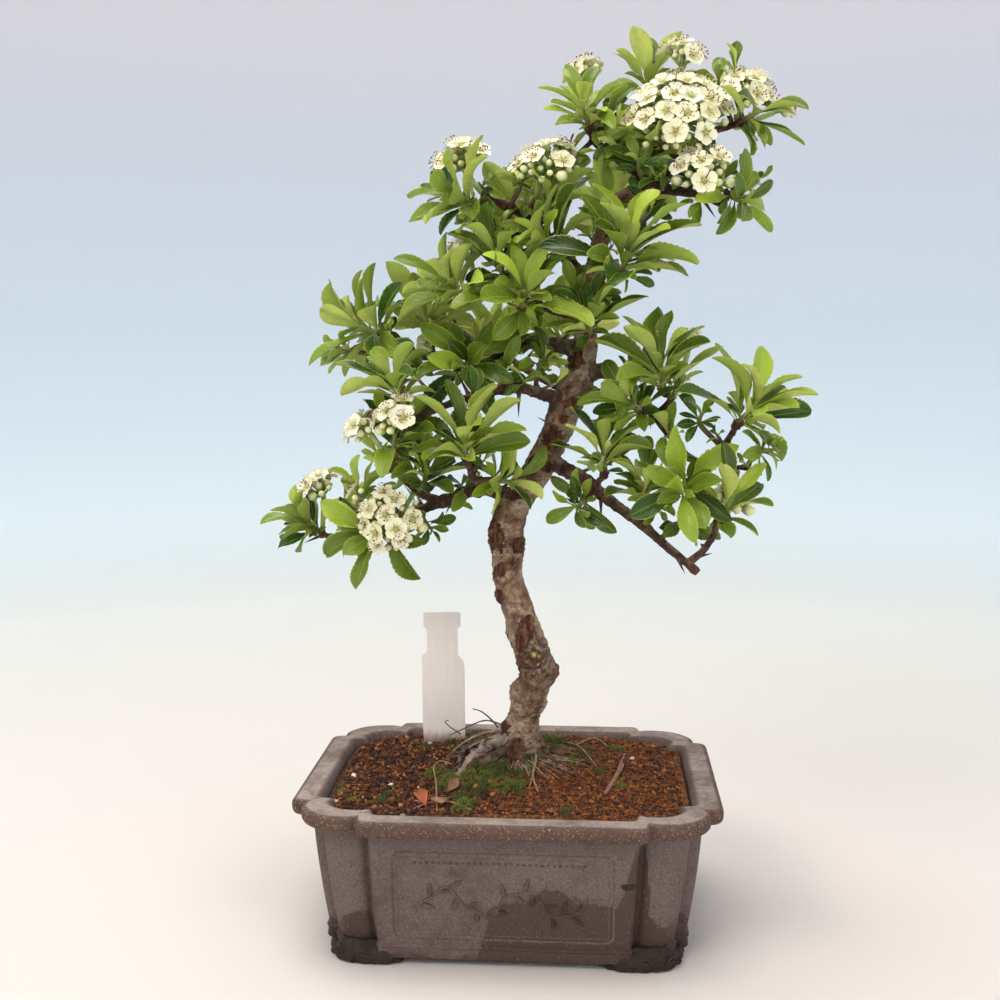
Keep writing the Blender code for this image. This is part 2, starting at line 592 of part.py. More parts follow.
def fuse(name, solids, group, surface):
    """One body from several overlapping solids."""
    body = put(name, solids[0], group, surface)
    bits = bpy.data.collections.new(name + " bits")
    bpy.context.scene.collection.children.link(bits)
    for k, solid in enumerate(solids[1:]):
        put(name + " bit %03d" % k, solid, bits)
    joiner = body.modifiers.new("Join", "BOOLEAN")
    joiner.operation = "UNION"
    joiner.operand_type = "COLLECTION"
    joiner.collection = bits
    joiner.solver = "MANIFOLD"
    settle(body, "Join")
    for bit in list(bits.objects):
        bpy.data.objects.remove(bit)
    bpy.data.collections.remove(bits)
    return body


def carve(body, shapes):
    """Cut several plain shapes out of a body."""
    bits = bpy.data.collections.new("cutters")
    bpy.context.scene.collection.children.link(bits)
    for k, shape in enumerate(shapes):
        mesh = bpy.data.meshes.new("cutter %d" % k)
        shape.to_mesh(mesh)
        shape.free()
        bits.objects.link(bpy.data.objects.new("cutter %d" % k, mesh))
    cutter = body.modifiers.new("Cut", "BOOLEAN")
    cutter.operation = "DIFFERENCE"
    cutter.operand_type = "COLLECTION"
    cutter.collection = bits
    cutter.solver = "MANIFOLD"
    settle(body, "Cut")
    for bit in list(bits.objects):
        bpy.data.objects.remove(bit)
    bpy.data.collections.remove(bits)


def smooth(body, degrees=35):
    """Smooth shading with the sharp edges kept."""
    body.data.shade_smooth()
    body.data.set_sharp_from_angle(angle=math.radians(degrees))


def upright(x, y, z_low, z_high, radius, sides):
    """A plain upright cylinder."""
    shape = bmesh.new()
    place = Matrix.Translation((Vector((x, y, (z_low + z_high) / 2)) + SHIFT) * 0.001)
    bmesh.ops.create_cone(shape, cap_ends=True, segments=sides, radius1=radius * 0.001,
                          radius2=radius * 0.001, depth=(z_high - z_low) * 0.001, matrix=place)
    return shape


def slot():
    """A plain box round the buried end of the label, leaning as the label does."""
    shape = bmesh.new()
    middle = Matrix.Translation(Vector((0.0, SLOT_SIZE.y / 2 - SLOT_DEPTH, 0.0)) * 0.001)
    place = label_place() @ middle @ Matrix.Diagonal((*(SLOT_SIZE * 0.001), 1.0))
    bmesh.ops.create_cube(shape, size=1.0, matrix=place)
    return shape


def wall_inset(z):
    """Inset of the sloping wall at a height."""
    share = (z - WALL_LOW_Z) / (WALL_TOP_Z - WALL_LOW_Z)
    return WALL_LOW_INSET + (WALL_TOP_INSET - WALL_LOW_INSET) * share


def frame_solid(half, side):
    """Raised border of a wall panel; side is -y, +x, +y or -x as a heading."""
    heading = math.radians(side)
    out = Vector((math.cos(heading), math.sin(heading), 0))
    over = Vector((-out.y, out.x, 0))
    reach = POT_HALF_Y if side % 180 else POT_HALF_X
    rings = []
    for border, lift in ((0, -1.2), (0, 0.35), (1.6, 0.35), (1.6, -1.2)):
        ring = []
        low, high = 11.0 + border, 47.6 - border
        wide = half - border
        nip = 3.4 - border * 0.6
        marks = [(-wide + nip, low), (wide - nip, low), (wide, low + nip), (wide, high - nip),
                 (wide - nip, high), (-wide + nip, high), (-wide, high - nip), (-wide, low + nip)]
        for across, z in marks:
            ring.append(out * (reach - wall_inset(z) + lift) + over * across + Vector((0, 0, z)) + SHIFT)
        rings.append(ring)
    n = 8
    corners = [c for ring in rings for c in ring]
    faces = []
    for i in range(4):
        j = (i + 1) % 4
        for k in range(n):
            m = (k + 1) % n
            faces.append((i * n + k, i * n + m, j * n + m, j * n + k))
    return corners, faces


def foot_solid(sign_x, sign_y):
    """Cloud shaped foot under one corner of the pot, with two knuckles and toes."""
    plan = [(0, -1.0), (4.6, -3.2), (8.6, -1.4), (12.6, -3.2), (17.4, -1.0), (21.0, -1.2), (24.6, 2.0),
            (25.4, 6.4), (28.6, 11.0), (27.4, 15.6), (29.6, 20.0), (27.6, 24.6), (22.0, 25.0),
            (16.4, 11.0), (1.0, 6.0)]
    start = Vector((41.0, -51.6, 0))
    rings = []
    for z, grow in ((0.0, -0.8), (1.0, 0.3), (3.6, 0.0), (FOOT_HEIGHT + 3.0, -2.6)):
        ring = []
        for i, (x, y) in enumerate(plan):
            spread = grow if i < 12 else 0.0
            middle = Vector((14.0, 12.0, 0))
            ray = (Vector((x, y, 0)) - middle).normalized()
            point = start + Vector((x, y, 0)) + ray * spread
            ring.append(Vector((point.x * sign_x, point.y * sign_y, z)) + SHIFT)
        if sign_x * sign_y < 0:
            ring.reverse()
        rings.append(ring)
    return loft(rings)


def label_place():
    """Where the label stands: local x across its width, y up it and z through its thickness."""
    turn = Euler((math.radians(90) - LABEL_TILT, -LABEL_LEAN, 0.0)).to_matrix().to_4x4()
    return Matrix.Translation((LABEL_AT + SHIFT) * 0.001) @ turn


def plant_label(group, surface):
    """Blank plastic plant label with shoulders, a neck and a wider top strip."""
    marks = [(0.0, -9.0), (9.0, -5.0), (9.5, 34.6), (8.7, 38.0), (6.7, 39.6), (6.7, 52.0),
             (8.1, 52.6), (8.1, 59.0), (-8.1, 59.0), (-8.1, 52.6), (-6.7, 52.0), (-6.9, 41.6),
             (-9.2, 39.6), (-9.5, 10.0), (-9.0, -5.0)]
    shape = bpy.data.curves.new("plant_label", "CURVE")
    shape.dimensions = "2D"
    shape.fill_mode = "BOTH"
    shape.extrude = LABEL_THICK * 0.0005
    line = shape.splines.new("POLY")
    line.points.add(len(marks) - 1)
    line.use_cyclic_u = True
    for point, (x, y) in zip(line.points, marks):
        point.co = (x * 0.001, y * 0.001, 0.0, 1.0)
    shape.materials.append(surface)
    label = bpy.data.objects.new("plant_label", shape)
    group.objects.link(label)
    label.matrix_world = label_place()


def build():
    """Build every part of the potted tree."""
    for old in list(bpy.data.objects):
        bpy.data.objects.remove(old)
    model = bpy.data.collections.new("pyracantha_bonsai")
    bpy.context.scene.collection.children.link(model)
    stoneware = material("stoneware", (0.135, 0.105, 0.093), 0.8)
    earth = material("earth", (0.13, 0.055, 0.025), 0.95)
    bark = material("bark", (0.19, 0.14, 0.11), 0.85)
    leaf_green = material("leaf_green", (0.17, 0.32, 0.035), 0.42)
    petal_cream = material("petal_cream", (0.86, 0.82, 0.62), 0.6)
    plastic = material("label_plastic", (0.82, 0.77, 0.76), 0.4)

    inner = RIM_WIDTH
    profile = [(FOOT_HEIGHT, WALL_LOW_INSET - 0.3), (FOOT_HEIGHT + 0.9, WALL_LOW_INSET - 1.0),
               (WALL_LOW_Z - 0.7, WALL_LOW_INSET - 1.0), (WALL_LOW_Z, WALL_LOW_INSET), (WALL_TOP_Z, WALL_TOP_INSET),
               (54.6, 6.6), (55.5, 0.5), (60.3, 0.0), (RIM_TOP_Z, 1.2),
               (RIM_TOP_Z, inner - 1.0), (60.2, inner), (48.0, 13.6), (FLOOR_Z, FLOOR_INSET)]
    pot = put("pot", loft([outline(z, inset) for z, inset in profile]), model, stoneware)
    carve(pot, [upright(x, 0, 2, 30, DRAIN_RADIUS, 12) for x in (-DRAIN_X, DRAIN_X)])
    extras = [foot_solid(x, y) for x in (-1, 1) for y in (-1, 1)]
    extras += [frame_solid(42.0, 270), frame_solid(42.0, 90), frame_solid(29.0, 0), frame_solid(29.0, 180)]
    bits = bpy.data.collections.new("pot bits")
    bpy.context.scene.collection.children.link(bits)
    for k, solid in enumerate(extras):
        put("pot bit %d" % k, solid, bits)
    joiner = pot.modifiers.new("Join", "BOOLEAN")
    joiner.operation = "UNION"
    joiner.operand_type = "COLLECTION"
    joiner.collection = bits
    joiner.solver = "MANIFOLD"
    settle(pot, "Join")
    for bit in list(bits.objects):
        bpy.data.objects.remove(bit)
    bpy.data.collections.remove(bits)
    smooth(pot, 28)

    soil = put("soil", soil_solid(), model, earth)
    carve(soil, [upright(TRUNK_FOOT.x, TRUNK_FOOT.y, HOLE_BOTTOM_Z, 90, HOLE_RADIUS, 16),
                 slot()])
    smooth(soil, 40)

    plant_label(model, plastic)

    wood_solids = wood_plan()
    wood = fuse("trunk_and_branches", wood_solids, model, bark)
    smooth(wood, 50)

    shoots, heads = plan_crown(wood_solids)
    for key, shoot in shoots.items():
        solids = [shoot["core"]] + [blade(*leaf) for leaf in shoot["leaves"]]
        fuse("leafy_shoot_" + key, solids, model, leaf_green)
    for key, head in heads.items():
        solids = [head["core"]]
        for open_flower, place, face, end, wide, spin in head["blooms"]:
            kind = flower if open_flower else bud
            solids.append(kind(place, face, end, wide, spin))
        fuse("flower_head_" + key, solids, model, petal_cream)


build()
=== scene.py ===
"""The look of the flowering pyracantha bonsai: fine leaves, flowers, bark, soil, moss and pot.

The first half repeats the plan of the source, in millimetres, so that each fine
leaf, flower and limb grows where its solid is. Meshes are made in metres.
"""

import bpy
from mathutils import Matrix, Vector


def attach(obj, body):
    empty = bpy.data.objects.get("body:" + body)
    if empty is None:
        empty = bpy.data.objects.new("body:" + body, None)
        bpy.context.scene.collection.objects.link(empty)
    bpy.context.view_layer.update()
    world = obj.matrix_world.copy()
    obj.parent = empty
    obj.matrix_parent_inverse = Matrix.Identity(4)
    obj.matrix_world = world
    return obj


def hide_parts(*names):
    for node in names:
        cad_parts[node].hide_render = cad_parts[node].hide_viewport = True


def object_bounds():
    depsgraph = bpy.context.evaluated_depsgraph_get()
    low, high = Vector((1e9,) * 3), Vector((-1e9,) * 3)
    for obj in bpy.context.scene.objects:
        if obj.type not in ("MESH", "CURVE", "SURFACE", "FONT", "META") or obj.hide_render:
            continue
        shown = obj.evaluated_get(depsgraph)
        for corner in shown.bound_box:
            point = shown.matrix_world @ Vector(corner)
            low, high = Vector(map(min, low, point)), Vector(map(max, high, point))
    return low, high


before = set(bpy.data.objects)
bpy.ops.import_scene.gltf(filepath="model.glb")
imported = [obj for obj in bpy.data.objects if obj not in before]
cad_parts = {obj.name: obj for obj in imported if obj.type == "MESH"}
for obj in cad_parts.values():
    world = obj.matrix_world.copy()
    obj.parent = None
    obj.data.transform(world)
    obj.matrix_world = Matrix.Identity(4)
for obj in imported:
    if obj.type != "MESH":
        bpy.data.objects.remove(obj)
cad_box = [list(corner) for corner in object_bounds()]

import math
import random

import bpy
from mathutils import Euler, Matrix, Vector, noise
from mathutils.bvhtree import BVHTree
from mathutils.geometry import tessellate_polygon

# A millimetre in metres
MM = 0.001

# Picture geometry of the photograph
EYE = Vector((32.3, -533.0, 238.8))
YAW = math.radians(4.0)
PITCH = math.radians(6.87)
FOCAL = 1320.0
# Distance at which a radius in picture dots is read, in mm
TRUNK_FAR = 535.0

# Pot
POT_HALF_X = 84.0
POT_HALF_Y = 66.0
NOTCH_X = 54.0
NOTCH_Y = 42.0
NOTCH_SLOPE = 0.42
LOBE_STEP = 4.8
LOBE_RADIUS = 17.0
FOOT_HEIGHT = 2.6
WALL_LOW_Z = 8.2
WALL_TOP_Z = 51.0
WALL_LOW_INSET = 13.2
WALL_TOP_INSET = 7.8
RIM_TOP_Z = 61.2
RIM_WIDTH = 11.0
FLOOR_Z = 9.0
FLOOR_INSET = 18.0
DRAIN_RADIUS = 8.0
DRAIN_X = 38.0

# Soil
SOIL_GAP = 0.3
SOIL_EDGE_Z = 57.4
MOUND_HEIGHT = 11.0
MOUND_SPREAD = 30.0
TRUNK_FOOT = Vector((4.0, 0.0, 0.0))
PLUG_RADIUS = 8.6
PLUG_BOTTOM_Z = 47.0

# Plant label
LABEL_AT = Vector((-32.4, 38.0, 60.0))
LABEL_THICK = 1.0
LABEL_EDGE = 0.16
LABEL_LEAN = math.radians(1.4)
LABEL_TILT = math.radians(2.9)

# Share by which leaves turn up towards the light
LIFT = 0.4
# Turn from one leaf or flower to the next, in radians
GOLDEN = 2.39996

# Columns: picture column, picture row, depth behind the trunk foot, radius in picture dots
TRUNK = [
    (524, 715, 0, 15.8), (529, 697, -1, 16.6), (536, 676, -1.5, 17.2), (534, 656, -1.5, 18.2),
    (526, 634, -1, 16.4), (519, 612, 0, 15.4), (511.5, 590, 1, 14.8), (507.5, 566, 1.5, 15.2),
    (508, 542, 1.5, 15.6), (511, 520, 1, 15.2), (517.5, 501, 0.5, 14.2), (529, 484, 0, 14.6),
    (541, 464, -0.5, 14.8), (551, 444, -0.5, 14.8), (560, 422, 0, 15.2), (570, 398, 0.5, 16),
    (579, 374, 1, 15.4), (584, 352, 1, 12.8), (587, 330, 0.5, 10.4), (589, 307, 0, 9.8),
    (591, 284, -0.5, 9.4), (597, 256, -1, 9), (605, 228, -1, 8.6), (617, 206, -2, 8.4),
    (634, 192, -3, 8.2), (654, 186, -4, 8),
]
# Columns: height above the floor, turn round the trunk in degrees, swelling in mm
KNOBS = [
    (104.0, -5, 2.6), (93.5, 186, 2.2), (130.5, -30, 2.0), (110.0, -90, 2.2), (120.5, 184, 1.6),
    (160.5, 205, 2.4), (156.5, -40, 1.6), (136.5, 215, 1.4), (205.0, -60, 1.2),
]

# Branches as lists of picture column, picture row, depth; then start and end radius in mm
BRANCHES = [
    ([(552, 461, -1), (568, 471, -6), (585, 480, -10), (605, 497, -14), (640, 523, -20),
      (665, 545, -26), (690, 566, -30), (698, 573, -31)], 3.5, 1.1),
    ([(688, 563, -30), (702, 552, -32), (711, 540, -34), (716, 530, -35)], 1.7, 1.0),
    ([(588, 374, 0), (604, 371, -4), (620, 379, -7), (640, 400, -10), (655, 415, -13),
      (672, 437, -17), (690, 458, -21), (715, 463, -25), (748, 469, -31)], 3.6, 0.8),
    ([(706, 462, -23), (717, 452, -25), (728, 440, -26), (731, 434, -27)], 1.8, 1.1),
    ([(655, 415, -13), (664, 408, -14), (672, 398, -15)], 1.7, 1.1),
    ([(578, 350, 2), (550, 344, 5), (515, 343, 8), (480, 350, 11), (443, 355, 13),
      (412, 355, 15), (392, 339, 15)], 3.4, 1.3),
    ([(418, 355, 14), (398, 356, 15), (377, 355, 15.5)], 1.5, 0.5),
    ([(564, 398, -1), (545, 395, -7), (519, 388, -11), (487, 392, -15), (462, 400, -18),
      (436, 409, -21), (412, 421, -26)], 2.9, 1.1),
    ([(512, 500, 2), (496, 491, 9), (477, 489, 13), (455, 497, 18), (433, 505, 22),
      (398, 518, 30), (362, 532, 37), (340, 538, 41), (322, 534, 43)], 3.4, 1.2),
    ([(440, 502, 21), (420, 493, 15), (403, 478, 8), (392, 470, -2), (390, 462, -12)], 2.0, 1.1),
    ([(590, 287, 0), (570, 262, 0), (550, 241, -1), (530, 219, -2), (506, 206, -3),
      (486, 195, -4)], 2.9, 1.2),
    ([(486, 491, 11), (479, 484, 1), (472, 474, -11), (469, 466, -18)], 1.9, 1.1),
    ([(590, 292, -1), (602, 288, -10), (612, 283, -18), (616, 279, -22)], 2.0, 1.2),
    ([(482, 350, 11), (470, 339, 20), (458, 329, 28)], 1.7, 1.1),
    ([(588, 322, 0), (560, 312, -7), (530, 302, -12), (500, 290, -14), (476, 296, -12)], 2.2, 1.1),
    ([(648, 188, -4), (640, 174, -3), (624, 161, -1), (607, 152, 0), (594, 140, 0),
      (590, 124, -1)], 2.8, 1.2),
    ([(612, 156, -1), (628, 138, 2), (638, 116, 4), (643, 92, 4)], 2.0, 1.1),
    ([(650, 187, -4), (668, 172, -5), (686, 154, -7), (704, 136, -6), (722, 128, -4),
      (738, 124, -3)], 2.7, 1.2),
    ([(652, 187, -5), (672, 190, -7), (700, 195, -9), (722, 205, -10)], 2.6, 1.1),
    ([(580, 372, 4), (576, 364, 15), (570, 354, 26), (566, 346, 35)], 2.4, 1.1),
    ([(592, 270, 1), (594, 254, 10), (600, 234, 20), (604, 217, 29)], 2.2, 1.0),
    ([(572, 392, 3), (550, 382, 16), (524, 368, 29), (504, 354, 39)], 2.4, 1.1),
]
# Thorns: picture column, picture row, depth of the root, then run right, back, up in mm
THORNS = [
    (601, 494, -14, 0, -3, -10), (696, 560, -31, 6, -2, 2), (646, 405, -11, 1, -2, -9),
    (519, 390, -11, 0, -3, -9), (347, 536, 40, -1, -3, -8), (322, 534, 43, -9, 2, -4),
    (470, 397, -17, -4, -2, 8), (438, 406, -21, -4, -3, 7), (492, 349, 10, -2, -2, 9),
    (434, 355, 13, -1, 0, 9), (675, 553, -28, 3, -5, -6), (694, 458, -22, 2, -2, -6),
    (650, 530, -22, -2, 4, 8), (400, 517, 30, 2, 5, 8), (560, 430, -5, -9, -2, 5),
    (590, 300, -1, 9, -3, 4), (700, 195, -9, 5, -4, -8), (575, 392, 6, 5, 9, 3),
    (541, 242, -1, -6, -3, -5), (455, 497, 18, -4, 2, -8),
]
# Surface roots: heading in degrees, length, radius at the trunk, bend in degrees, rise at the trunk
ROOTS = [
    (201, 26, 2.0, 25, 3.4), (229, 31, 2.6, -24, 4.2), (171, 19, 1.5, -28, 3.0), (262, 13, 2.1, 27, 1.2),
    (309, 12, 2.2, 21, 1.0), (347, 14, 2.0, -23, 1.4), (43, 15, 2.0, 26, 1.6), (104, 19, 2.3, -25, 2.2),
]

# Leafy shoots: picture column, row, depth, axis right, back, up, leaves, leaf length in mm
ROSETTES = {
    "a": (645, 82, 3, -0.15, -0.3, 1, 10, 26), "b": (590, 128, -6, -0.35, -0.4, 0.8, 10, 21),
    "c": (744, 118, -4, 0.75, -0.5, 0.35, 7, 25), "d": (664, 146, -10, -0.75, -0.35, 0.45, 7, 25),
    "e": (694, 190, -14, 0.1, -0.6, 0.35, 6, 22), "f": (732, 205, -11, 0.5, -0.6, -0.35, 8, 19),
    "g": (476, 192, -5, -0.7, -0.4, 0.3, 10, 27), "h": (540, 206, -7, 0.1, -0.28, 1, 9, 26),
    "i": (620, 276, -25, 0.25, -0.4, 0.9, 12, 35), "j": (560, 250, -10, -0.8, -0.25, 0.42, 7, 27),
    "k": (500, 280, -17, -0.35, -0.31, 0.97, 8, 28), "l": (466, 298, -12, -0.7, -0.31, 0.57, 8, 27),
    "m": (428, 325, 10, -0.15, -0.25, 1, 8, 29), "n": (386, 336, 12, -0.95, -0.3, 0.3, 8, 30),
    "o": (522, 309, -18, 0.1, -0.46, 0.42, 9, 30), "p": (468, 361, 1, 0.1, -0.7, -0.15, 7, 25),
    "q": (400, 402, -24, -0.4, -0.2, 0.9, 8, 26), "r": (394, 452, -17, 0.1, -0.43, 0.57, 8, 26),
    "s": (467, 461, -22, -0.1, -0.31, 1, 9, 31), "t": (494, 480, -8, 0.9, -0.4, -0.05, 6, 24),
    "u": (318, 531, 41, -0.65, -0.31, 0.57, 9, 24), "v": (384, 524, 18, -0.3, -0.75, -0.35, 8, 29),
    "w": (424, 486, 4, 0.1, -0.43, 0.62, 7, 28), "x": (590, 334, -14, 0, -0.53, 0.57, 8, 25),
    "y": (672, 392, -16, -0.1, -0.22, 1, 10, 31), "z": (734, 430, -27, 0.65, -0.3, 0.75, 9, 31),
    "aa": (646, 410, -17, -0.6, -0.37, 0.57, 7, 25), "ab": (688, 482, -28, -0.2, -0.6, -0.25, 8, 25),
    "ac": (604, 474, -15, -0.05, -0.25, 1, 9, 25), "ad": (643, 502, -24, 0.1, -0.25, 1, 8, 23),
    "ae": (590, 494, -14, -0.35, -0.6, -0.45, 6, 17), "af": (718, 524, -37, 0.35, -0.25, 0.82, 9, 26),
    "ag": (566, 344, 36, 0.1, 0.85, 0.4, 7, 27), "ah": (604, 214, 30, 0.15, 0.85, 0.35, 7, 27),
    "ai": (502, 352, 40, -0.25, 0.85, 0.4, 7, 27), "aj": (522, 226, 10, -0.3, 0.9, 0.3, 7, 28),
    "ak": (646, 160, 10, 0.1, 0.9, 0.35, 7, 27), "al": (446, 322, 32, -0.3, 0.9, 0.35, 7, 27),
}
# Flower heads: picture column, row, depth, axis right, back, up, radius, flowers, buds
CORYMBS = {
    "a": (678, 96, -19, -0.05, -0.75, 0.6, 20.0, 22, 0), "b": (685, 46, 0, 0.1, -0.3, 0.9, 8.0, 4, 0),
    "c": (752, 78, -8, 0.3, -0.5, 0.8, 12.0, 8, 2), "d": (788, 106, 4, 0.85, -0.2, 0.35, 5.0, 2, 2),
    "e": (583, 64, 8, -0.35, -0.2, 0.9, 8.0, 4, 0), "f": (546, 148, -13, -0.1, -0.4, 0.85, 14.5, 11, 1),
    "g": (455, 147, 0, -0.35, -0.25, 0.85, 11.5, 7, 2), "h": (465, 241, 4, -0.25, -0.2, 0.9, 9.0, 5, 1),
    "i": (397, 402, -31, -0.1, -0.45, 0.85, 10.0, 6, 1), "j": (355, 425, -26, -0.7, -0.5, 0.5, 8.0, 4, 1),
    "k": (314, 480, 38, -0.25, -0.3, 0.9, 9.0, 5, 1), "l": (388, 512, -4, -0.15, -0.85, 0.45, 14.5, 12, 1),
    "m": (362, 486, 8, -0.3, -0.4, 0.85, 6.0, 3, 0), "n": (706, 160, -27, 0.05, -0.75, 0.65, 12.5, 7, 3),
    "o": (690, 337, 8, 0.1, -0.2, 0.95, 5.0, 2, 1), "p": (738, 492, -26, 0.3, -0.35, 0.8, 8.5, 3, 5),
    "q": (430, 352, 26, -0.2, 0.8, 0.3, 6.0, 3, 0),
}


def spot(column, row, depth):
    """Return the point seen at a place in the picture and lying at a depth, in mm."""
    across = (column - 500) / FOCAL
    rise = (500 - row) / FOCAL
    sin_p, cos_p = math.sin(PITCH), math.cos(PITCH)
    level = cos_p + rise * sin_p
    reach = (depth - EYE.y) / (math.cos(YAW) * level + math.sin(YAW) * across)
    ahead, aside = reach * level, reach * across
    x = EYE.x - math.sin(YAW) * ahead + math.cos(YAW) * aside
    return Vector((x, depth, EYE.z + reach * (rise * cos_p - sin_p)))


def square_to(axis, lean=(0.2, 0.1, 1.0)):
    """Two directions square to an axis and to each other."""
    side = axis.cross(Vector(lean)).normalized()
    return side, axis.cross(side)


def spoke(side, other, turn):
    """The direction at a turn from one side towards another."""
    return side * math.cos(turn) + other * math.sin(turn)


def ring_faces(rings, n):
    """Faces between closed rings of n corners."""
    return [(i * n + k, i * n + (k + 1) % n, (i + 1) * n + (k + 1) % n, (i + 1) * n + k)
            for i in range(rings - 1) for k in range(n)]


def sheet_faces(rows, n):
    """Faces between open rows of n corners."""
    return [(a, a + 1, a + n + 1, a + n) for i in range(rows - 1) for a in range(i * n, i * n + n - 1)]


def tube(path, radii, sides, pointed=False, swell=None):
    """Loft rings along a path; return corners and faces of the closed solid."""
    corners, faces = [], []
    side = None
    last = len(path) - 1
    for i, here in enumerate(path):
        along = (path[min(i + 1, last)] - path[max(i - 1, 0)]).normalized()
        if side is None:
            side = along.cross(Vector((0.2, 1.0, 0.1)))
        side = (side - along * side.dot(along)).normalized()
        other = along.cross(side)
        if i == last and pointed:
            corners.append(here.copy())
            break
        for k in range(sides):
            turn = math.tau * k / sides
            ray = spoke(side, other, turn)
            extra = swell(here, ray, radii[i]) if swell else 0.0
            corners.append(here + ray * (radii[i] + extra))
    rings = last if pointed else last + 1
    faces += ring_faces(rings, sides)
    faces.append(tuple(reversed(range(sides))))
    end = (rings - 1) * sides
    if pointed:
        for k in range(sides):
            faces.append((end + k, end + (k + 1) % sides, len(corners) - 1))
    else:
        faces.append(tuple(range(end, end + sides)))
    return corners, faces


def blade(root, along, face, length, width, fold, curl, grow=0.0, near=None):
    """A curling leaf of few faces with a keel under its rib, split alike above and below."""
    across = along.cross(face).normalized()
    corners = [root - along * 1.1]
    rows = [(0.42, 0.34 * width), (0.77, 0.5 * width)]
    if near:
        rows.insert(0, (near, near * width))
        corners = []
    for s, half in rows:
        bend = curl * s
        here = root + length * (along * math.sin(bend) - face * (1 - math.cos(bend))) / curl
        up = face * math.cos(bend) + along * math.sin(bend)
        edge = here + up * (half * fold + grow)
        corners += [edge + across * (half + grow), edge - across * (half + grow)]
        corners.append(here - up * (0.65 + grow))
    corners.append(root + (length + grow) * (along * math.sin(curl) - face * (1 - math.cos(curl))) / curl)
    if near:
        start = 0
        faces = [(0, 1, 2)]
    else:
        start = 1
        faces = [(0, 1, 2), (0, 3, 1), (0, 2, 3)]
    for i in range(start, len(corners) - 4, 3):
        a, b, c, d, e, f = range(i, i + 6)
        faces += [(b, a, d), (b, d, e), (a, c, f), (a, f, d), (b, e, f), (b, f, c)]
    a, tip = len(corners) - 4, len(corners) - 1
    faces += [(a + 1, a, tip), (a, a + 2, tip), (a + 2, a + 1, tip)]
    return corners, faces


def flower(centre, up, stalk_end, size, turn):
    """A five lobed open flower on a tapering stalk."""
    side, other = square_to(up, (0.3, 0.2, 1.0))
    corners = [centre + up * 0.7]
    for k in range(10):
        a = turn + math.tau * k / 10
        r = size * (1.0 if k % 2 == 0 else 0.66)
        lift = 1.5 if k % 2 == 0 else 1.1
        corners.append(centre + spoke(side, other, a) * r + up * lift)
    for k in range(3):
        a = turn + math.tau * (k / 3 + 0.1)
        corners.append(centre + spoke(side, other, a) * 0.75 - up * 0.5)
    corners.append(stalk_end)
    faces = [(0, 1 + k, 1 + (k + 1) % 10) for k in range(10)]
    owner = [0, 0, 0, 1, 1, 1, 2, 2, 2, 0]
    for k in range(10):
        j = (k + 1) % 10
        faces.append((1 + j, 1 + k, 11 + owner[k]))
        if owner[j] != owner[k]:
            faces.append((1 + j, 11 + owner[k], 11 + owner[j]))
    faces += [(11 + (k + 1) % 3, 11 + k, 14) for k in range(3)]
    return corners, faces


def bud(centre, up, stalk_end, size, turn):
    """A round bud tapering into its stalk."""
    side, other = square_to(up, (0.3, 0.2, 1.0))
    corners = [centre + up * size]
    for k in range(5):
        a = turn + math.tau * k / 5
        corners.append(centre + spoke(side, other, a) * size)
    corners.append(stalk_end)
    faces = [(0, 1 + k, 1 + (k + 1) % 5) for k in range(5)]
    faces += [(1 + (k + 1) % 5, 1 + k, 6) for k in range(5)]
    return corners, faces


def tree_of(solid):
    """Search tree over one solid given as corners and faces."""
    return BVHTree.FromPolygons([tuple(c) for c in solid[0]], solid[1])


def box_of(corners, slack=0.0):
    """Lowest and highest corner of a set of points."""
    low = [min(c[i] for c in corners) - slack for i in range(3)]
    high = [max(c[i] for c in corners) + slack for i in range(3)]
    return low, high


class Crowd:
    """Solids already placed, with the owner of each, for clearance tests."""

    def __init__(self):
        self.items = []

    def add(self, solid, owner):
        self.items.append((box_of(solid[0]), tree_of(solid), owner))

    def meets(self, solid, skip=()):
        low, high = box_of(solid[0])
        own = None
        for (lo, hi), tree, owner in self.items:
            if owner in skip:
                continue
            if any(low[i] > hi[i] or high[i] < lo[i] for i in range(3)):
                continue
            own = own or tree_of(solid)
            if own.overlap(tree):
                return True
        return False


# Outline of the pot in plan
def outline(z, inset):
    """Forty four points round the pot: flat sides with stepped round corner lobes."""
    hx, hy = POT_HALF_X - inset, POT_HALF_Y - inset
    nx, ny = NOTCH_X - NOTCH_SLOPE * inset, NOTCH_Y - NOTCH_SLOPE * inset
    radius = LOBE_RADIUS - 0.6 * inset
    lobe_x, lobe_y = hx - LOBE_STEP, hy - LOBE_STEP
    cx, cy = lobe_x - radius, lobe_y - radius
    quarter = [(nx - 1.8, hy), (nx + 0.5, hy - 1.2), (nx + 1.5, lobe_y - 0.7), (nx + 4.2, lobe_y)]
    for angle in (76, 46, 18):
        a = math.radians(angle)
        quarter.append((cx + radius * math.cos(a), cy + radius * math.sin(a)))
    quarter += [(lobe_x, ny + 4.2), (lobe_x - 0.7, ny + 1.5), (hx - 1.2, ny + 0.5), (hx, ny - 1.8)]
    points = [(x, -y) for x, y in quarter]
    points += [(x, y) for x, y in reversed(quarter)]
    points += [(-x, y) for x, y in quarter]
    points += [(-x, -y) for x, y in reversed(quarter)]
    return [Vector((x, y, z)) for x, y in points]


def loft(rings):
    """Close a stack of equal rings into a solid."""
    n = len(rings[0])
    corners = [c for ring in rings for c in ring]
    faces = [tuple(reversed(range(n)))] + ring_faces(len(rings), n)
    faces.append(tuple(range((len(rings) - 1) * n, len(rings) * n)))
    return corners, faces


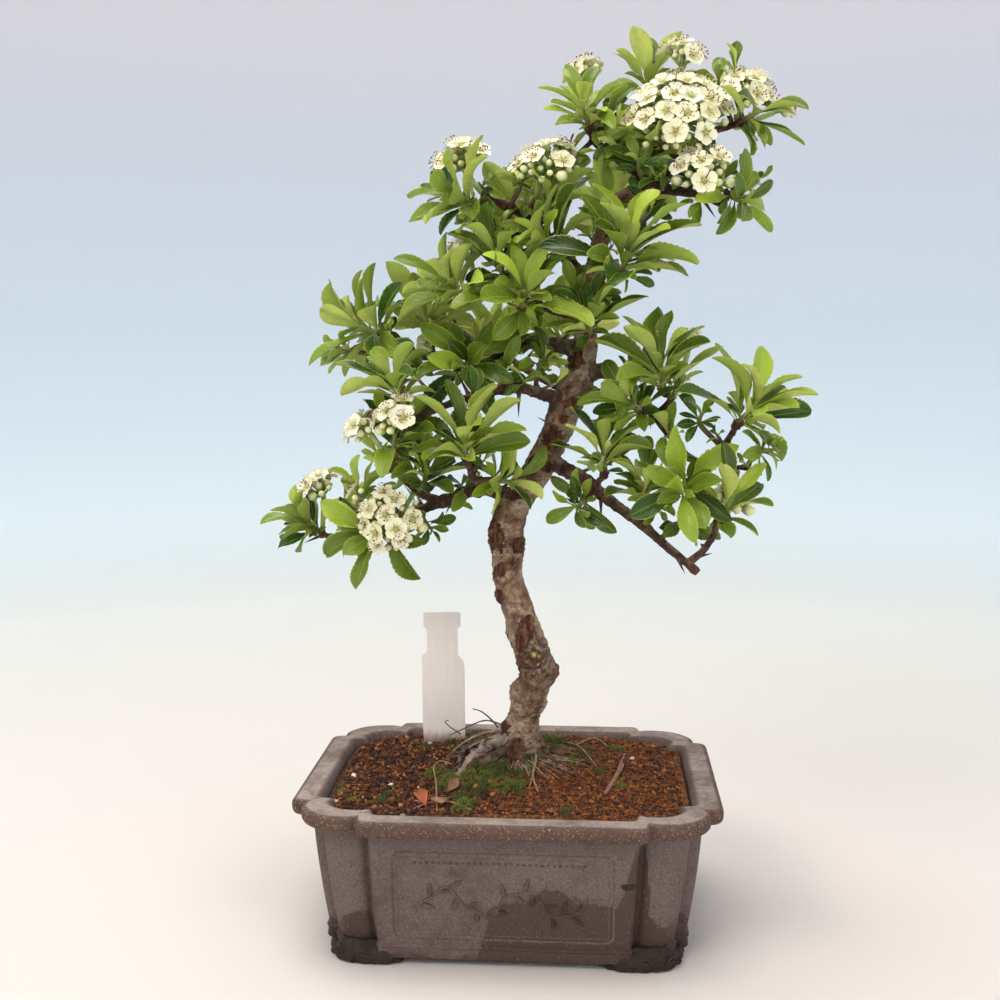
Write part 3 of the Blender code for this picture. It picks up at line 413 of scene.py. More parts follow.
def mound(x, y):
    """Height of the soil's top above the floor."""
    dx, dy = x - TRUNK_FOOT.x, y - TRUNK_FOOT.y
    swell = MOUND_HEIGHT * math.exp(-(dx * dx + dy * dy) / (2 * MOUND_SPREAD ** 2))
    ripple = 0.35 * math.sin(x * 0.17 + 1.0) * math.cos(y * 0.21) * min(1.0, swell)
    return SOIL_EDGE_Z + swell + ripple


def soil_solid():
    """The soil: pot's inner shape with a gap and a mounded top."""
    rings = []
    for z, inset in ((FLOOR_Z + 0.35, FLOOR_INSET), (48.0, 13.6), (SOIL_EDGE_Z - 0.6, RIM_WIDTH + 1.6)):
        rings.append(outline(z, inset + SOIL_GAP))
    edge = outline(SOIL_EDGE_Z, RIM_WIDTH + 1.7 + SOIL_GAP)
    middle = TRUNK_FOOT
    for scale in (0.965, 0.52, 0.2):
        ring = []
        for c in edge:
            x = middle.x + (c.x - middle.x) * scale
            y = middle.y + (c.y - middle.y) * scale
            top = mound(x, y) if scale > 0.25 else SOIL_EDGE_Z + MOUND_HEIGHT * 0.93
            ring.append(Vector((x, y, top)))
        rings.append(ring)
    return loft(rings)


# The tree's woody parts
def wood_plan():
    """Lists of tubes for trunk, branches, thorns and surface roots."""
    foot = TRUNK_FOOT
    path = [foot + Vector((0, 0, z)) for z in (PLUG_BOTTOM_Z, 60.0, 71.5, 77.0)]
    radii = [PLUG_RADIUS - 0.6, PLUG_RADIUS, PLUG_RADIUS, 7.4]
    for column, row, depth, radius in TRUNK:
        path.append(spot(column, row, depth))
        radii.append(radius * (path[-1].y + TRUNK_FAR) / FOCAL * 1.01)

    def bark(here, ray, radius):
        if here.z < 73:
            return 0.0
        height, turn = here.z, math.atan2(ray.y, ray.x)
        extra = 0.055 * radius * math.sin(3 * turn + height * 0.07) * math.cos(height * 0.31)
        for level, heading, lift in KNOBS:
            off = math.remainder(turn - math.radians(heading), math.tau)
            extra += lift * math.exp(-((height - level) / 5.0) ** 2 - (off / 0.55) ** 2)
        return extra

    solids = [tube(path, radii, 10, swell=bark)]
    for points, thick, thin in BRANCHES:
        way = [spot(*p) for p in points]
        last = len(way) - 1
        sizes = [thick + (thin - thick) * (i / last) ** 0.8 for i in range(last + 1)]
        wobble = [1 + 0.10 * math.sin(i * 2.4 + thick * 3) for i in range(last + 1)]
        solids.append(tube(way, [s * w for s, w in zip(sizes, wobble)], 5))
    stems = tree_of(join(solids))
    for column, row, depth, right, back, up in THORNS:
        hit, normal, _, _ = stems.find_nearest(spot(column, row, depth))
        root = hit - normal * 0.9
        run = Vector((right, back, up))
        solids.append(tube([root, root + run * 1.1], [0.95, 0], 3, pointed=True))
    ground = tree_of(soil_solid())
    for heading, length, radius, bend, rise in ROOTS:
        way, sizes = [], []
        for i in range(6):
            f = i / 5
            turn = math.radians(heading + bend * f * f)
            run = 4.0 + length * f
            x, y = foot.x + run * math.cos(turn), foot.y + run * math.sin(turn)
            size = radius * (1 - 0.62 * f)
            top = max(ground.ray_cast(Vector((x + dx, y + dy, 200)), Vector((0, 0, -1)))[0].z
                      for dx, dy in ((0, 0), (size, 0), (-size, 0), (0, size), (0, -size)))
            hop = (1 - f) ** 2 * rise + 0.7 * math.sin(math.pi * f)
            way.append(Vector((x, y, top + size + 0.65 + hop)))
            sizes.append(size)
        solids.append(tube(way, sizes, 5))
    return solids


def join(solids):
    """Put several solids in one list of corners and faces."""
    corners, faces = [], []
    for more, sides in solids:
        start = len(corners)
        corners += more
        faces += [tuple(start + i for i in f) for f in sides]
    return corners, faces


def shoot_path(wood, base):
    """Way from just off the nearest bark to a shoot's base."""
    hit, normal, _, reach = wood.find_nearest(base)
    if reach < 4.0 or (base - hit).dot(normal) < 0:
        base = hit + normal * 4.0
    neck = hit + normal * min(2.2, (base - hit).length * 0.4)
    return [hit + normal * 0.5, neck, base]


def wander(seed, attempt):
    """A small seeded step aside, wider at each attempt."""
    chance = random.Random(7919 * seed + attempt)
    step = 0.25 * attempt
    return Vector((chance.uniform(-step, step), chance.uniform(-step, step), chance.uniform(-step, step)))


def eased(axis, path):
    """Turn an axis towards the way its stem arrives, where the two are at odds."""
    arrival = (path[-1] - path[0]).normalized()
    short = 0.3 - axis.dot(arrival)
    return (axis + arrival * (1.3 * short)).normalized() if short > 0 else axis


def plan_crown(wood_solids):
    """Place shoots, flower heads and leaves so that none crosses another."""
    wood = tree_of(join(wood_solids))
    crowd = Crowd()
    crowd.items.append((box_of(join(wood_solids)[0]), wood, "wood"))
    shoots, heads = {}, {}
    for index, (key, row) in enumerate(CORYMBS.items()):
        size = row[6]
        crest = spot(*row[:3])
        for attempt in range(60):
            nudge = wander(index, attempt)
            axis = Vector(row[3:6]).normalized()
            path = shoot_path(wood, crest - axis * (size * 0.55 + 4.0) + nudge)
            axis, hub = eased(axis, path), path[-1]
            way = path + [hub + axis * (size * 0.42), hub + axis * (size * 0.62)]
            radii = [1.1, 1.0, 1.25, size * 0.55, size * 0.3]
            if not crowd.meets(tube(way, [r + 0.35 for r in radii], 5)):
                break
        heads[key] = {"axis": axis, "hub": hub, "size": size, "path": path, "core": tube(way, radii, 5)}
        crowd.add(heads[key]["core"], "head " + key)
    for index, (key, row) in enumerate(ROSETTES.items()):
        for attempt in range(60):
            nudge = wander(50 + index, attempt)
            axis = Vector(row[3:6]).normalized()
            path = shoot_path(wood, spot(*row[:3]) + nudge)
            axis = eased(axis, path)
            path.append(path[-1] + axis * (5.0 + 0.55 * row[6]))
            radii = [1.25, 1.15, 1.35, 0.95]
            if not crowd.meets(tube(path, [r + 0.35 for r in radii], 4)):
                break
        shoots[key] = {"axis": axis, "path": path, "core": tube(path, radii, 4)}
        crowd.add(shoots[key]["core"], "shoot " + key)
    for index, (key, head) in enumerate(heads.items()):
        axis, size, hub = head["axis"], head["size"], head["hub"]
        flowers, buds = CORYMBS[key][7:9]
        chance = random.Random(500 + index)
        side, other = square_to(axis)
        dome = size * min(1.2, 0.78 + 0.04 * (size - 8))
        centre = hub + axis * (size * 0.55 + 4.0 - dome)
        widest = math.asin(min(0.97, (size - 2.4) / dome))
        head["blooms"] = []
        discs = Crowd()
        total = 3 * flowers + buds
        placed = 0
        for k in range(total):
            open_flower = k < 3 * flowers
            if open_flower and placed == flowers:
                continue
            share = (k + 0.4) / (3 * flowers) if open_flower else 1.0
            polar = widest * math.sqrt(share) * (1.0 if open_flower else 1.14)
            turn = k * GOLDEN + index
            ray = axis * math.cos(polar) + spoke(side, other, turn) * math.sin(polar)
            face = (ray + axis * 0.25).normalized()
            place = centre + ray * (dome + chance.uniform(-0.6, 0.9))
            end = place.lerp(hub + axis * (size * 0.42), 0.84)
            wide = chance.uniform(4.7, 5.4) if open_flower else chance.uniform(1.9, 2.3)
            spin = chance.uniform(0, math.tau)
            kind = flower if open_flower else bud
            if discs.meets(kind(place, face, place - face * 1.2, wide * 0.95, spin)):
                continue
            if crowd.meets(kind(place, face, end, wide + 0.4, spin), skip=("head " + key,)):
                continue
            placed += open_flower
            head["blooms"].append((open_flower, place, face, end, wide, spin))
            discs.add(kind(place, face, place - face * 1.2, wide * 0.95, spin), key)
            crowd.add(kind(place, face, end, wide, spin), "head " + key)
    for index, (key, shoot) in enumerate(shoots.items()):
        count, length = ROSETTES[key][6:8]
        chance = random.Random(900 + index)
        axis, base, tip = shoot["axis"], shoot["path"][2], shoot["path"][3]
        side, other = square_to(axis)
        shoot["leaves"] = []
        phase = chance.uniform(0, math.tau)
        for k in range(count):
            level = (k + 0.5) / count
            root = base.lerp(tip, 0.04 + 0.86 * level)
            for attempt in range(46):
                loose = attempt / 46
                turn = phase + k * GOLDEN + chance.uniform(-0.9, 0.9) * (0.25 + loose)
                lean = math.radians(78 - 54 * level + chance.uniform(-12, 12) * (0.6 + 1.6 * loose))
                out = spoke(side, other, turn)
                along = axis * math.cos(lean) + out * math.sin(lean)
                face = axis * math.sin(lean) - out * math.cos(lean)
                along = (along + Vector((0, 0, LIFT))).normalized()
                roll = along.cross(face) * chance.uniform(-0.6, 0.6)
                face = (face + roll - along * face.dot(along)).normalized()
                long = length * (1 - 0.2 * level) * chance.uniform(0.92, 1.14) * (1 - 0.38 * loose)
                wide = long * chance.uniform(0.32, 0.39)
                curl = chance.uniform(0.15, 0.95)
                leaf = (root, along, face, long, wide, chance.uniform(0.25, 0.55), curl)
                same = ("shoot " + key, "leaves " + key)
                if crowd.meets(blade(*leaf, grow=0.38), skip=same + ("outer " + key,)):
                    continue
                if crowd.meets(blade(*leaf, grow=0.1, near=0.2), skip=same):
                    continue
                shoot["leaves"].append(leaf)
                crowd.add(blade(*leaf), "leaves " + key)
                crowd.add(blade(*leaf, near=0.15), "outer " + key)
                break
    return shoots, heads, crowd


# Gathering meshes
class Heap:
    """Corners and faces gathered for one mesh, with four marks a corner and a slot a face."""

    def __init__(self):
        self.corners, self.faces, self.marks, self.slots = [], [], [], []

    def add(self, solid, mark, slot=0):
        """Add a solid; mark is one set of four numbers, or one set for each corner."""
        start = len(self.corners)
        self.corners += solid[0]
        self.faces += [tuple(start + i for i in f) for f in solid[1]]
        self.marks += mark if isinstance(mark, list) else [mark] * len(solid[0])
        self.slots += [slot] * len(solid[1])

    def piece(self, name, surfaces, finish, nodes=(), sharp=None):
        """Make the mesh, ride it on the body and put it in place of its CAD nodes."""
        mesh = bpy.data.meshes.new(name)
        mesh.from_pydata([tuple(c * MM) for c in self.corners], [], self.faces)
        for surface in surfaces:
            mesh.materials.append(surface)
        mesh.polygons.foreach_set("material_index", self.slots)
        layer = mesh.attributes.new("mark", "FLOAT_COLOR", "POINT")
        layer.data.foreach_set("color", [v for m in self.marks for v in m])
        mesh.update()
        mesh.shade_smooth()
        if sharp:
            mesh.set_sharp_from_angle(angle=math.radians(sharp))
        made = bpy.data.objects.new(name, mesh)
        bpy.context.scene.collection.objects.link(made)
        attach(made, "root")
        if nodes:
            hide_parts(*nodes)
        return made


def curve_at(stops, x):
    """Read a line through rising stops of x and y."""
    for (x0, y0), (x1, y1) in zip(stops, stops[1:]):
        if x <= x1:
            return y0 + (y1 - y0) * (x - x0) / (x1 - x0)
    return stops[-1][1]


def resampled(path, radii, step):
    """Smooth way through the points of a path, with its radii."""
    points, sizes = [], []
    last = len(path) - 1
    for i in range(last):
        before, here = path[max(i - 1, 0)], path[i]
        ahead, beyond = path[i + 1], path[min(i + 2, last)]
        cuts = max(1, round((ahead - here).length / step))
        for k in range(cuts):
            t = k / cuts
            point = here * 2 + (ahead - before) * t + (before * 2 - here * 5 + ahead * 4 - beyond) * t ** 2
            point += (here * 3 - before - ahead * 3 + beyond) * t ** 3
            points.append(point * 0.5)
            sizes.append(radii[i] + (radii[i + 1] - radii[i]) * t * t * (3 - 2 * t))
    return points + [path[-1]], sizes + [radii[-1]]


def chaikin(ring, rounds=2):
    """Round the corners of a closed ring."""
    for _ in range(rounds):
        n = len(ring)
        ring = [p for i in range(n) for p in (ring[i].lerp(ring[(i + 1) % n], 0.25),
                                              ring[i].lerp(ring[(i + 1) % n], 0.75))]
    return ring


# Materials
def ramp_of(tree, source, stops):
    """A colour ramp fed by a socket."""
    node = tree.nodes.new("ShaderNodeValToRGB")
    tree.links.new(source, node.inputs[0])
    while len(node.color_ramp.elements) > len(stops):
        node.color_ramp.elements.remove(node.color_ramp.elements[-1])
    while len(node.color_ramp.elements) < len(stops):
        node.color_ramp.elements.new(1.0)
    for element, (at, colour) in zip(node.color_ramp.elements, stops):
        element.position = at
        element.color = (*colour, 1.0)
    return node.outputs[0]


class Surface:
    """A Principled material with short calls for the nodes that drive it."""

    def __init__(self, name, roughness=0.6):
        self.made = bpy.data.materials.new(name)
        self.made.use_nodes = True
        self.tree = self.made.node_tree
        self.shader = self.tree.nodes["Principled BSDF"]
        self.shader.inputs["Roughness"].default_value = roughness
        self.place = self.tree.nodes.new("ShaderNodeTexCoord").outputs["Object"]
        marks = self.tree.nodes.new("ShaderNodeAttribute")
        marks.attribute_name = "mark"
        parts = self.tree.nodes.new("ShaderNodeSeparateColor")
        self.link(marks.outputs["Color"], parts.inputs[0])
        self.marks = list(parts.outputs) + [marks.outputs["Alpha"]]

    def link(self, a, b):
        self.tree.links.new(a, b)

    def noise(self, scale, detail=4.0, rough=0.55, at=None, warp=0.0):
        node = self.tree.nodes.new("ShaderNodeTexNoise")
        node.inputs["Scale"].default_value = scale
        node.inputs["Detail"].default_value = detail
        node.inputs["Roughness"].default_value = rough
        node.inputs["Distortion"].default_value = warp
        self.link(at or self.place, node.inputs["Vector"])
        return node.outputs[0]

    def cells(self, scale, at=None):
        node = self.tree.nodes.new("ShaderNodeTexVoronoi")
        node.inputs["Scale"].default_value = scale
        self.link(at or self.place, node.inputs["Vector"])
        return node

    def stretched(self, x, y, z):
        node = self.tree.nodes.new("ShaderNodeMapping")
        node.inputs["Scale"].default_value = (x, y, z)
        self.link(self.place, node.inputs["Vector"])
        return node.outputs[0]

    def ramp(self, source, *stops):
        return ramp_of(self.tree, source, stops)

    def math(self, kind, a, b=0.0, c=0.0):
        node = self.tree.nodes.new("ShaderNodeMath")
        node.operation = kind
        for socket, value in zip(node.inputs, (a, b, c)):
            if isinstance(value, (int, float)):
                socket.default_value = value
            else:
                self.link(value, socket)
        return node.outputs[0]

    def times(self, a, b):
        return self.math("MULTIPLY", a, b)

    def plus(self, a, b):
        return self.math("ADD", a, b)

    def less(self, a, b):
        return self.math("SUBTRACT", a, b)

    def span(self, source, low, high, to_low=0.0, to_high=1.0):
        node = self.tree.nodes.new("ShaderNodeMapRange")
        node.interpolation_type = "SMOOTHSTEP"
        self.link(source, node.inputs["Value"])
        for key, value in (("From Min", low), ("From Max", high), ("To Min", to_low), ("To Max", to_high)):
            node.inputs[key].default_value = value
        return node.outputs[0]

    def mix(self, share, a, b, kind="MIX"):
        node = self.tree.nodes.new("ShaderNodeMix")
        node.data_type = "RGBA"
        node.blend_type = kind
        sockets = [s for s in node.inputs if s.type == "RGBA"]
        for socket, value in zip([node.inputs[0]] + sockets, (share, a, b)):
            if isinstance(value, (int, float)):
                socket.default_value = value
            elif isinstance(value, tuple):
                socket.default_value = (*value, 1.0)
            else:
                self.link(value, socket)
        return [s for s in node.outputs if s.type == "RGBA"][0]

    def finish(self, colour, roughness=None, bump=None, depth=0.0005, strength=0.6):
        self.link(colour, self.shader.inputs["Base Color"])
        if roughness is not None:
            self.link(roughness, self.shader.inputs["Roughness"])
        if bump is not None:
            node = self.tree.nodes.new("ShaderNodeBump")
            node.inputs["Strength"].default_value = strength
            node.inputs["Distance"].default_value = depth
            self.link(bump, node.inputs["Height"])
            self.link(node.outputs[0], self.shader.inputs["Normal"])
        return self.made


def leaf_surface(under):
    """Leaf with midrib, side veins and paler margin; marks are across, along, tint and shade."""
    s = Surface("leaf_under" if under else "leaf_upper")
    across = s.math("ABSOLUTE", s.less(s.marks[0], 0.5))
    along, tint, shade = s.marks[1], s.marks[2], s.marks[3]
    rib = s.span(across, 0.006, 0.034, 1.0, 0.0)
    wave = s.math("FRACT", s.less(s.times(along, 9.0), s.times(across, 6.0)))
    vein = s.span(s.math("ABSOLUTE", s.less(wave, 0.5)), 0.0, 0.14, 1.0, 0.0)
    mottle = s.noise(240, 4.0)
    if under:
        body = s.mix(tint, (0.270, 0.370, 0.055), (0.680, 0.750, 0.200))
        body = s.mix(s.span(mottle, 0.3, 0.7, 0.0, 0.35), body, (0.31, 0.36, 0.07))
        body = s.mix(s.times(vein, 0.22), body, (0.45, 0.49, 0.13))
        body = s.mix(s.times(rib, 0.7), body, (0.52, 0.56, 0.17))
        rough = s.span(mottle, 0.3, 0.7, 0.5, 0.66)
    else:
        dark = s.mix(shade, (0.009, 0.032, 0.002), (0.032, 0.090, 0.005))
        light = s.mix(shade, (0.250, 0.370, 0.020), (0.550, 0.680, 0.075))
        body = s.mix(s.math("POWER", tint, 1.5), dark, light)
        body = s.mix(s.span(mottle, 0.35, 0.75, 0.0, 0.07), body, (0.15, 0.22, 0.012))
        body = s.mix(s.times(vein, 0.10), body, (0.32, 0.40, 0.04))
        body = s.mix(s.times(rib, 0.45), body, (0.50, 0.60, 0.12))
        rough = s.span(mottle, 0.3, 0.7, 0.24, 0.38)
    body = s.mix(s.span(across, 0.45, 0.495, 0.0, 0.75), body, (0.52, 0.56, 0.08))
    body = s.mix(s.span(along, 0.0, 0.2, 0.6, 0.0), body, (0.42, 0.45, 0.10))
    lift = s.plus(s.times(vein, -0.4), s.times(rib, 1.0 if under else -1.0))
    s.shader.inputs["Specular IOR Level"].default_value = 0.14 if under else 0.38
    s.shader.inputs["Subsurface Weight"].default_value = 0.10
    s.shader.inputs["Subsurface Radius"].default_value = (0.6, 1.0, 0.2)
    s.shader.inputs["Subsurface Scale"].default_value = 0.001
    return s.finish(body, rough, lift, 0.0003, 0.6)


def stem_surface():
    """Young green to reddish shoot stem; the third mark is the height along it."""
    s = Surface("young_stem", 0.55)
    streak = s.noise(900, 4.0, at=s.stretched(1, 1, 0.25))
    green = s.mix(streak, (0.16, 0.20, 0.04), (0.30, 0.32, 0.09))
    brown = s.mix(streak, (0.045, 0.016, 0.010), (0.15, 0.055, 0.030))
    return s.finish(s.mix(s.span(s.marks[2], 0.25, 0.8), brown, green), None, streak, 0.0003)


def bark_surface():
    """Bark; marks are scar, thinness with painted shade in the trunk's hollows, moss and how far it faces up."""
    s = Surface("bark_fine", 0.85)
    scar, thin, moss, up = s.marks
    coarse = s.noise(70, 6.0, 0.62, warp=0.7)
    mid = s.noise(230, 5.0, 0.62, warp=0.4)
    fine = s.noise(900, 5.0, 0.68)
    grain = s.noise(480, 5.0, 0.7, at=s.stretched(1.0, 1.0, 0.22))
    flecks = s.cells(430, at=s.stretched(0.8, 0.8, 2.4)).outputs["Distance"]
    patch = s.plus(s.times(coarse, 0.6), s.times(mid, 0.4))
    pale = s.ramp(patch, (0.38, (0.080, 0.032, 0.015)), (0.44, (0.240, 0.126, 0.066)),
                  (0.50, (0.43, 0.275, 0.170)), (0.58, (0.70, 0.510, 0.360)))
    pale = s.mix(s.span(fine, 0.40, 0.60, 0.42, 0.0), pale, (0.085, 0.050, 0.030))
    pale = s.mix(s.span(fine, 0.56, 0.74, 0.0, 0.5), pale, (0.55, 0.43, 0.31))
    pale = s.mix(s.times(s.span(flecks, 0.08, 0.2, 0.8, 0.0), s.span(mid, 0.42, 0.56)), pale,
                 (0.045, 0.020, 0.012))
    twig = s.ramp(mid, (0.34, (0.030, 0.012, 0.007)), (0.50, (0.095, 0.043, 0.027)), (0.64, (0.20, 0.105, 0.070)))
    # Paler patches on twig bark where its surface faces up.
    pale_upper_patches = s.times(s.span(up, 0.25, 0.9), s.span(patch, 0.42, 0.56, 0.0, 0.85))
    twig = s.mix(pale_upper_patches, twig, (0.34, 0.275, 0.215))
    # thin picks the darker twig bark; on the trunk it also paints shade in the bark's hollows.
    body = s.mix(thin, pale, twig)
    peel = s.ramp(grain, (0.34, (0.018, 0.005, 0.003)), (0.48, (0.125, 0.038, 0.016)), (0.64, (0.36, 0.150, 0.070)))
    edge = s.plus(scar, s.times(s.less(fine, 0.5), 1.1))
    outline = s.times(s.span(edge, 0.24, 0.38), s.span(edge, 0.42, 0.56, 0.75, 0.0))
    body = s.mix(outline, body, (0.050, 0.022, 0.013))
    body = s.mix(s.span(edge, 0.40, 0.56), body, peel)
    green = s.times(moss, s.span(mid, 0.40, 0.56))
    body = s.mix(green, body, (0.055, 0.075, 0.014))
    bump = s.plus(s.times(mid, 1.8), s.plus(fine, s.span(flecks, 0.0, 0.3, -0.8, 0.0)))
    bump = s.plus(bump, s.times(s.times(scar, grain), 3.0))
    return s.finish(body, s.span(fine, 0.3, 0.7, 0.62, 0.92), bump, 0.0014, 1.0)


def petal_surface():
    """Cream petal, greener at its claw, with painted shade in the hollows of its crumple; marks are across, along and
    tint.
    """
    s = Surface("petal_fine", 0.55)
    along, tint = s.marks[1], s.marks[2]
    body = s.mix(tint, (0.89, 0.84, 0.55), (0.97, 0.94, 0.74))
    body = s.mix(s.span(along, 0.05, 0.45, 0.75, 0.0), body, (0.70, 0.69, 0.22))
    crumple = s.noise(700, 3.0)
    # Painted shade: darker and yellower where the crumple, which also drives the bump, sinks.
    body = s.mix(s.span(crumple, 0.3, 0.6, 0.12, 0.0), body, (0.60, 0.52, 0.26))
    s.shader.inputs["Subsurface Weight"].default_value = 0.15
    s.shader.inputs["Subsurface Radius"].default_value = (1.0, 0.9, 0.5)
    s.shader.inputs["Subsurface Scale"].default_value = 0.0012
    return s.finish(body, s.span(crumple, 0.3, 0.7, 0.45, 0.62), crumple, 0.0003, 0.5)


def plain_surface(name, low, high, scale, roughness, depth=0.0002):
    """A small part's surface of two mottled colours."""
    s = Surface(name, roughness)
    mottle = s.noise(scale, 4.0)
    shade = s.plus(s.times(mottle, 0.7), s.times(s.marks[2], 0.45))
    return s.finish(s.mix(s.span(shade, 0.25, 0.85), low, high), None, mottle, depth)


def stone_surface():
    """Unglazed purple brown stoneware with chalky haze, fine grit and wet stains; marks are wear, dark (black feet and
    a stain, darker towards the bottom above the feet and on the relief, with painted shade in the notch grooves and at
    the edges of the relief leaves), painted top light on the rim, and wet.
    """
    s = Surface("stoneware_fine", 0.8)
    wear, soot_and_shade, rim, wet = s.marks
    haze = s.noise(26, 5.0, 0.62, warp=1.2)
    grain = s.noise(1100, 5.0, 0.65)
    mid = s.noise(150, 6.0, 0.65, warp=0.5)
    dark = s.mix(grain, (0.054, 0.030, 0.024), (0.092, 0.057, 0.047))
    chalk = s.mix(s.span(grain, 0.3, 0.7), (0.118, 0.081, 0.070), (0.180, 0.136, 0.123))
    share = s.plus(s.times(haze, 0.7), s.times(mid, 0.45))
    share = s.plus(share, s.span(wet, 0.0, 0.45, 0.075, 0.0))
    damp = s.span(s.plus(wet, s.times(s.less(mid, 0.5), 0.55)), 0.455, 0.55)
    share = s.less(share, s.times(damp, 0.31))
    body = s.mix(s.span(share, 0.38, 0.70), dark, chalk)
    # Painted top light: a paler colour for the rim's top, and a little for its front edge, as if lit from above.
    top = s.mix(s.span(s.plus(s.times(mid, 0.5), s.times(haze, 0.5)), 0.36, 0.62),
                (0.205, 0.155, 0.133), (0.480, 0.390, 0.345))
    top = s.mix(s.span(grain, 0.35, 0.6, 0.35, 0.0), top, (0.090, 0.060, 0.048))
    body = s.mix(rim, body, top)
    body = s.mix(s.times(wear, 0.85), body, s.mix(mid, (0.045, 0.024, 0.018), (0.138, 0.087, 0.069)))
    grit = s.cells(900)
    keep = s.math("GREATER_THAN", s.noise(1300, 1.0), s.less(0.555, s.times(wear, 0.17)))
    dots = s.times(s.span(grit.outputs["Distance"], 0.12, 0.30, 1.0, 0.0), keep)
    tone = s.ramp(s.math("FRACT", s.times(s.noise(700, 1.0), 9.0)), (0.0, (0.33, 0.12, 0.05)),
                  (0.5, (0.44, 0.25, 0.15)), (0.85, (0.62, 0.52, 0.42)))
    body = s.mix(s.times(dots, s.span(wear, 0.0, 1.0, 0.55, 0.9)), body, tone)
    rust = s.times(wear, s.span(s.noise(620, 6.0, 0.75, warp=0.4), 0.53, 0.62, 0.0, 0.50))
    body = s.mix(rust, body, (0.30, 0.145, 0.070))
    # Black of the feet and a stain; this dark colour also paints shade in the notch grooves and at the edges of the
    # relief leaves.
    soot_and_shade_colour = s.mix(s.span(grain, 0.3, 0.7), (0.010, 0.006, 0.004), (0.038, 0.025, 0.016))
    body = s.mix(s.times(soot_and_shade, s.span(mid, 0.25, 0.62, 1.0, 0.9)), body, soot_and_shade_colour)
    rough = s.math("MAXIMUM", s.span(share, 0.25, 0.62, 0.46, 0.88), s.times(soot_and_shade, 0.52))
    s.shader.inputs["Specular IOR Level"].default_value = 0.26
    bump = s.plus(s.times(grain, 0.6), s.plus(s.times(mid, 1.1), dots))
    return s.finish(body, rough, bump, 0.0004, 0.7)


def soil_surface():
    """Soil, darker and coarser at the left, orange brown and fibrous at the right; third mark is painted shade, darker
    where the top sinks and down the buried sides.
    """
    s = Surface("soil_fine", 0.95)
    fine = s.noise(900, 6.0, 0.72)
    lump = s.noise(190, 5.0, 0.65)
    apart = s.tree.nodes.new("ShaderNodeSeparateXYZ")
    s.link(s.place, apart.inputs[0])
    side = s.span(s.plus(apart.outputs[0], s.times(s.less(lump, 0.5), 0.05)),
                  -0.03, 0.02)
    grit = s.plus(s.times(fine, 0.5), s.times(s.noise(430, 4.0, 0.6), 0.5))
    left = s.ramp(grit, (0.42, (0.008, 0.003, 0.002)), (0.50, (0.095, 0.032, 0.010)), (0.62, (0.34, 0.130, 0.040)))
    right = s.ramp(grit, (0.41, (0.020, 0.005, 0.002)), (0.50, (0.185, 0.050, 0.008)), (0.62, (0.52, 0.185, 0.034)))
    body = s.mix(side, left, right)
    # Painted shade from the third mark.
    body = s.mix(s.times(s.marks[2], 0.6), body, (0.022, 0.009, 0.005))
    bump = s.plus(fine, s.times(lump, 1.5))
    return s.finish(body, None, bump, 0.0012, 1.0)


def crumb_surface(name, stops):
    """Loose grains and chips; the third mark picks the colour."""
    s = Surface(name, 0.9)
    fine = s.noise(1400, 4.0)
    return s.finish(s.mix(s.times(fine, 0.5), s.ramp(s.marks[2], *stops), (0.03, 0.013, 0.008)), None,
                    fine, 0.0004)


def moss_surface():
    """Moss from dark base to bright tips; marks are height and tint."""
    s = Surface("moss", 0.8)
    low = s.mix(s.marks[2], (0.010, 0.015, 0.003), (0.030, 0.040, 0.006))
    high = s.mix(s.marks[2], (0.045, 0.075, 0.008), (0.26, 0.30, 0.028))
    return s.finish(s.mix(s.marks[1], low, high), None, s.noise(900, 3.0), 0.0003)


def label_surface():
    """Frosted white plastic, a little pink, with faint scuffs and soil at its foot."""
    s = Surface("label_plastic_fine", 0.45)
    scuff = s.noise(260, 5.0, 0.7, at=s.stretched(1.6, 0.35, 1))
    specks = s.cells(330).outputs["Distance"]
    apart = s.tree.nodes.new("ShaderNodeSeparateXYZ")
    s.link(s.place, apart.inputs[0])
    body = s.mix(s.span(scuff, 0.4, 0.75, 0.0, 0.6), (0.90, 0.80, 0.745), (0.96, 0.89, 0.85))
    few = s.times(s.span(specks, 0.03, 0.10, 0.5, 0.0), s.math("GREATER_THAN", s.noise(120, 2.0), 0.55))
    body = s.mix(few, body, (0.36, 0.25, 0.19))
    low = s.plus(apart.outputs[1], s.times(scuff, 0.006))
    body = s.mix(s.span(low, 0.004, 0.010, 0.8, 0.0), body, (0.22, 0.10, 0.05))
    s.shader.inputs["Subsurface Weight"].default_value = 0.3
    s.shader.inputs["Subsurface Radius"].default_value = (1.0, 0.8, 0.7)
    s.shader.inputs["Subsurface Scale"].default_value = 0.002
    return s.finish(body, s.span(scuff, 0.3, 0.7, 0.38, 0.6), scuff, 0.0001, 0.3)


# Leaves
LEAF_WIDTHS = [(0.0, 0.085), (0.07, 0.068), (0.15, 0.13), (0.24, 0.27), (0.34, 0.50), (0.44, 0.72), (0.54, 0.90),
               (0.62, 0.98), (0.69, 1.0), (0.76, 0.95), (0.83, 0.82), (0.89, 0.65), (0.94, 0.45), (0.98, 0.22),
               (1.0, 0.05)]


# Rows of faces along a shoot's own leaf, a leaf that fills it, a tuft's leaf and a spur's
LEAF_ROWS, FILL_ROWS, TUFT_ROWS, SPUR_ROWS = 30, 20, 15, 10


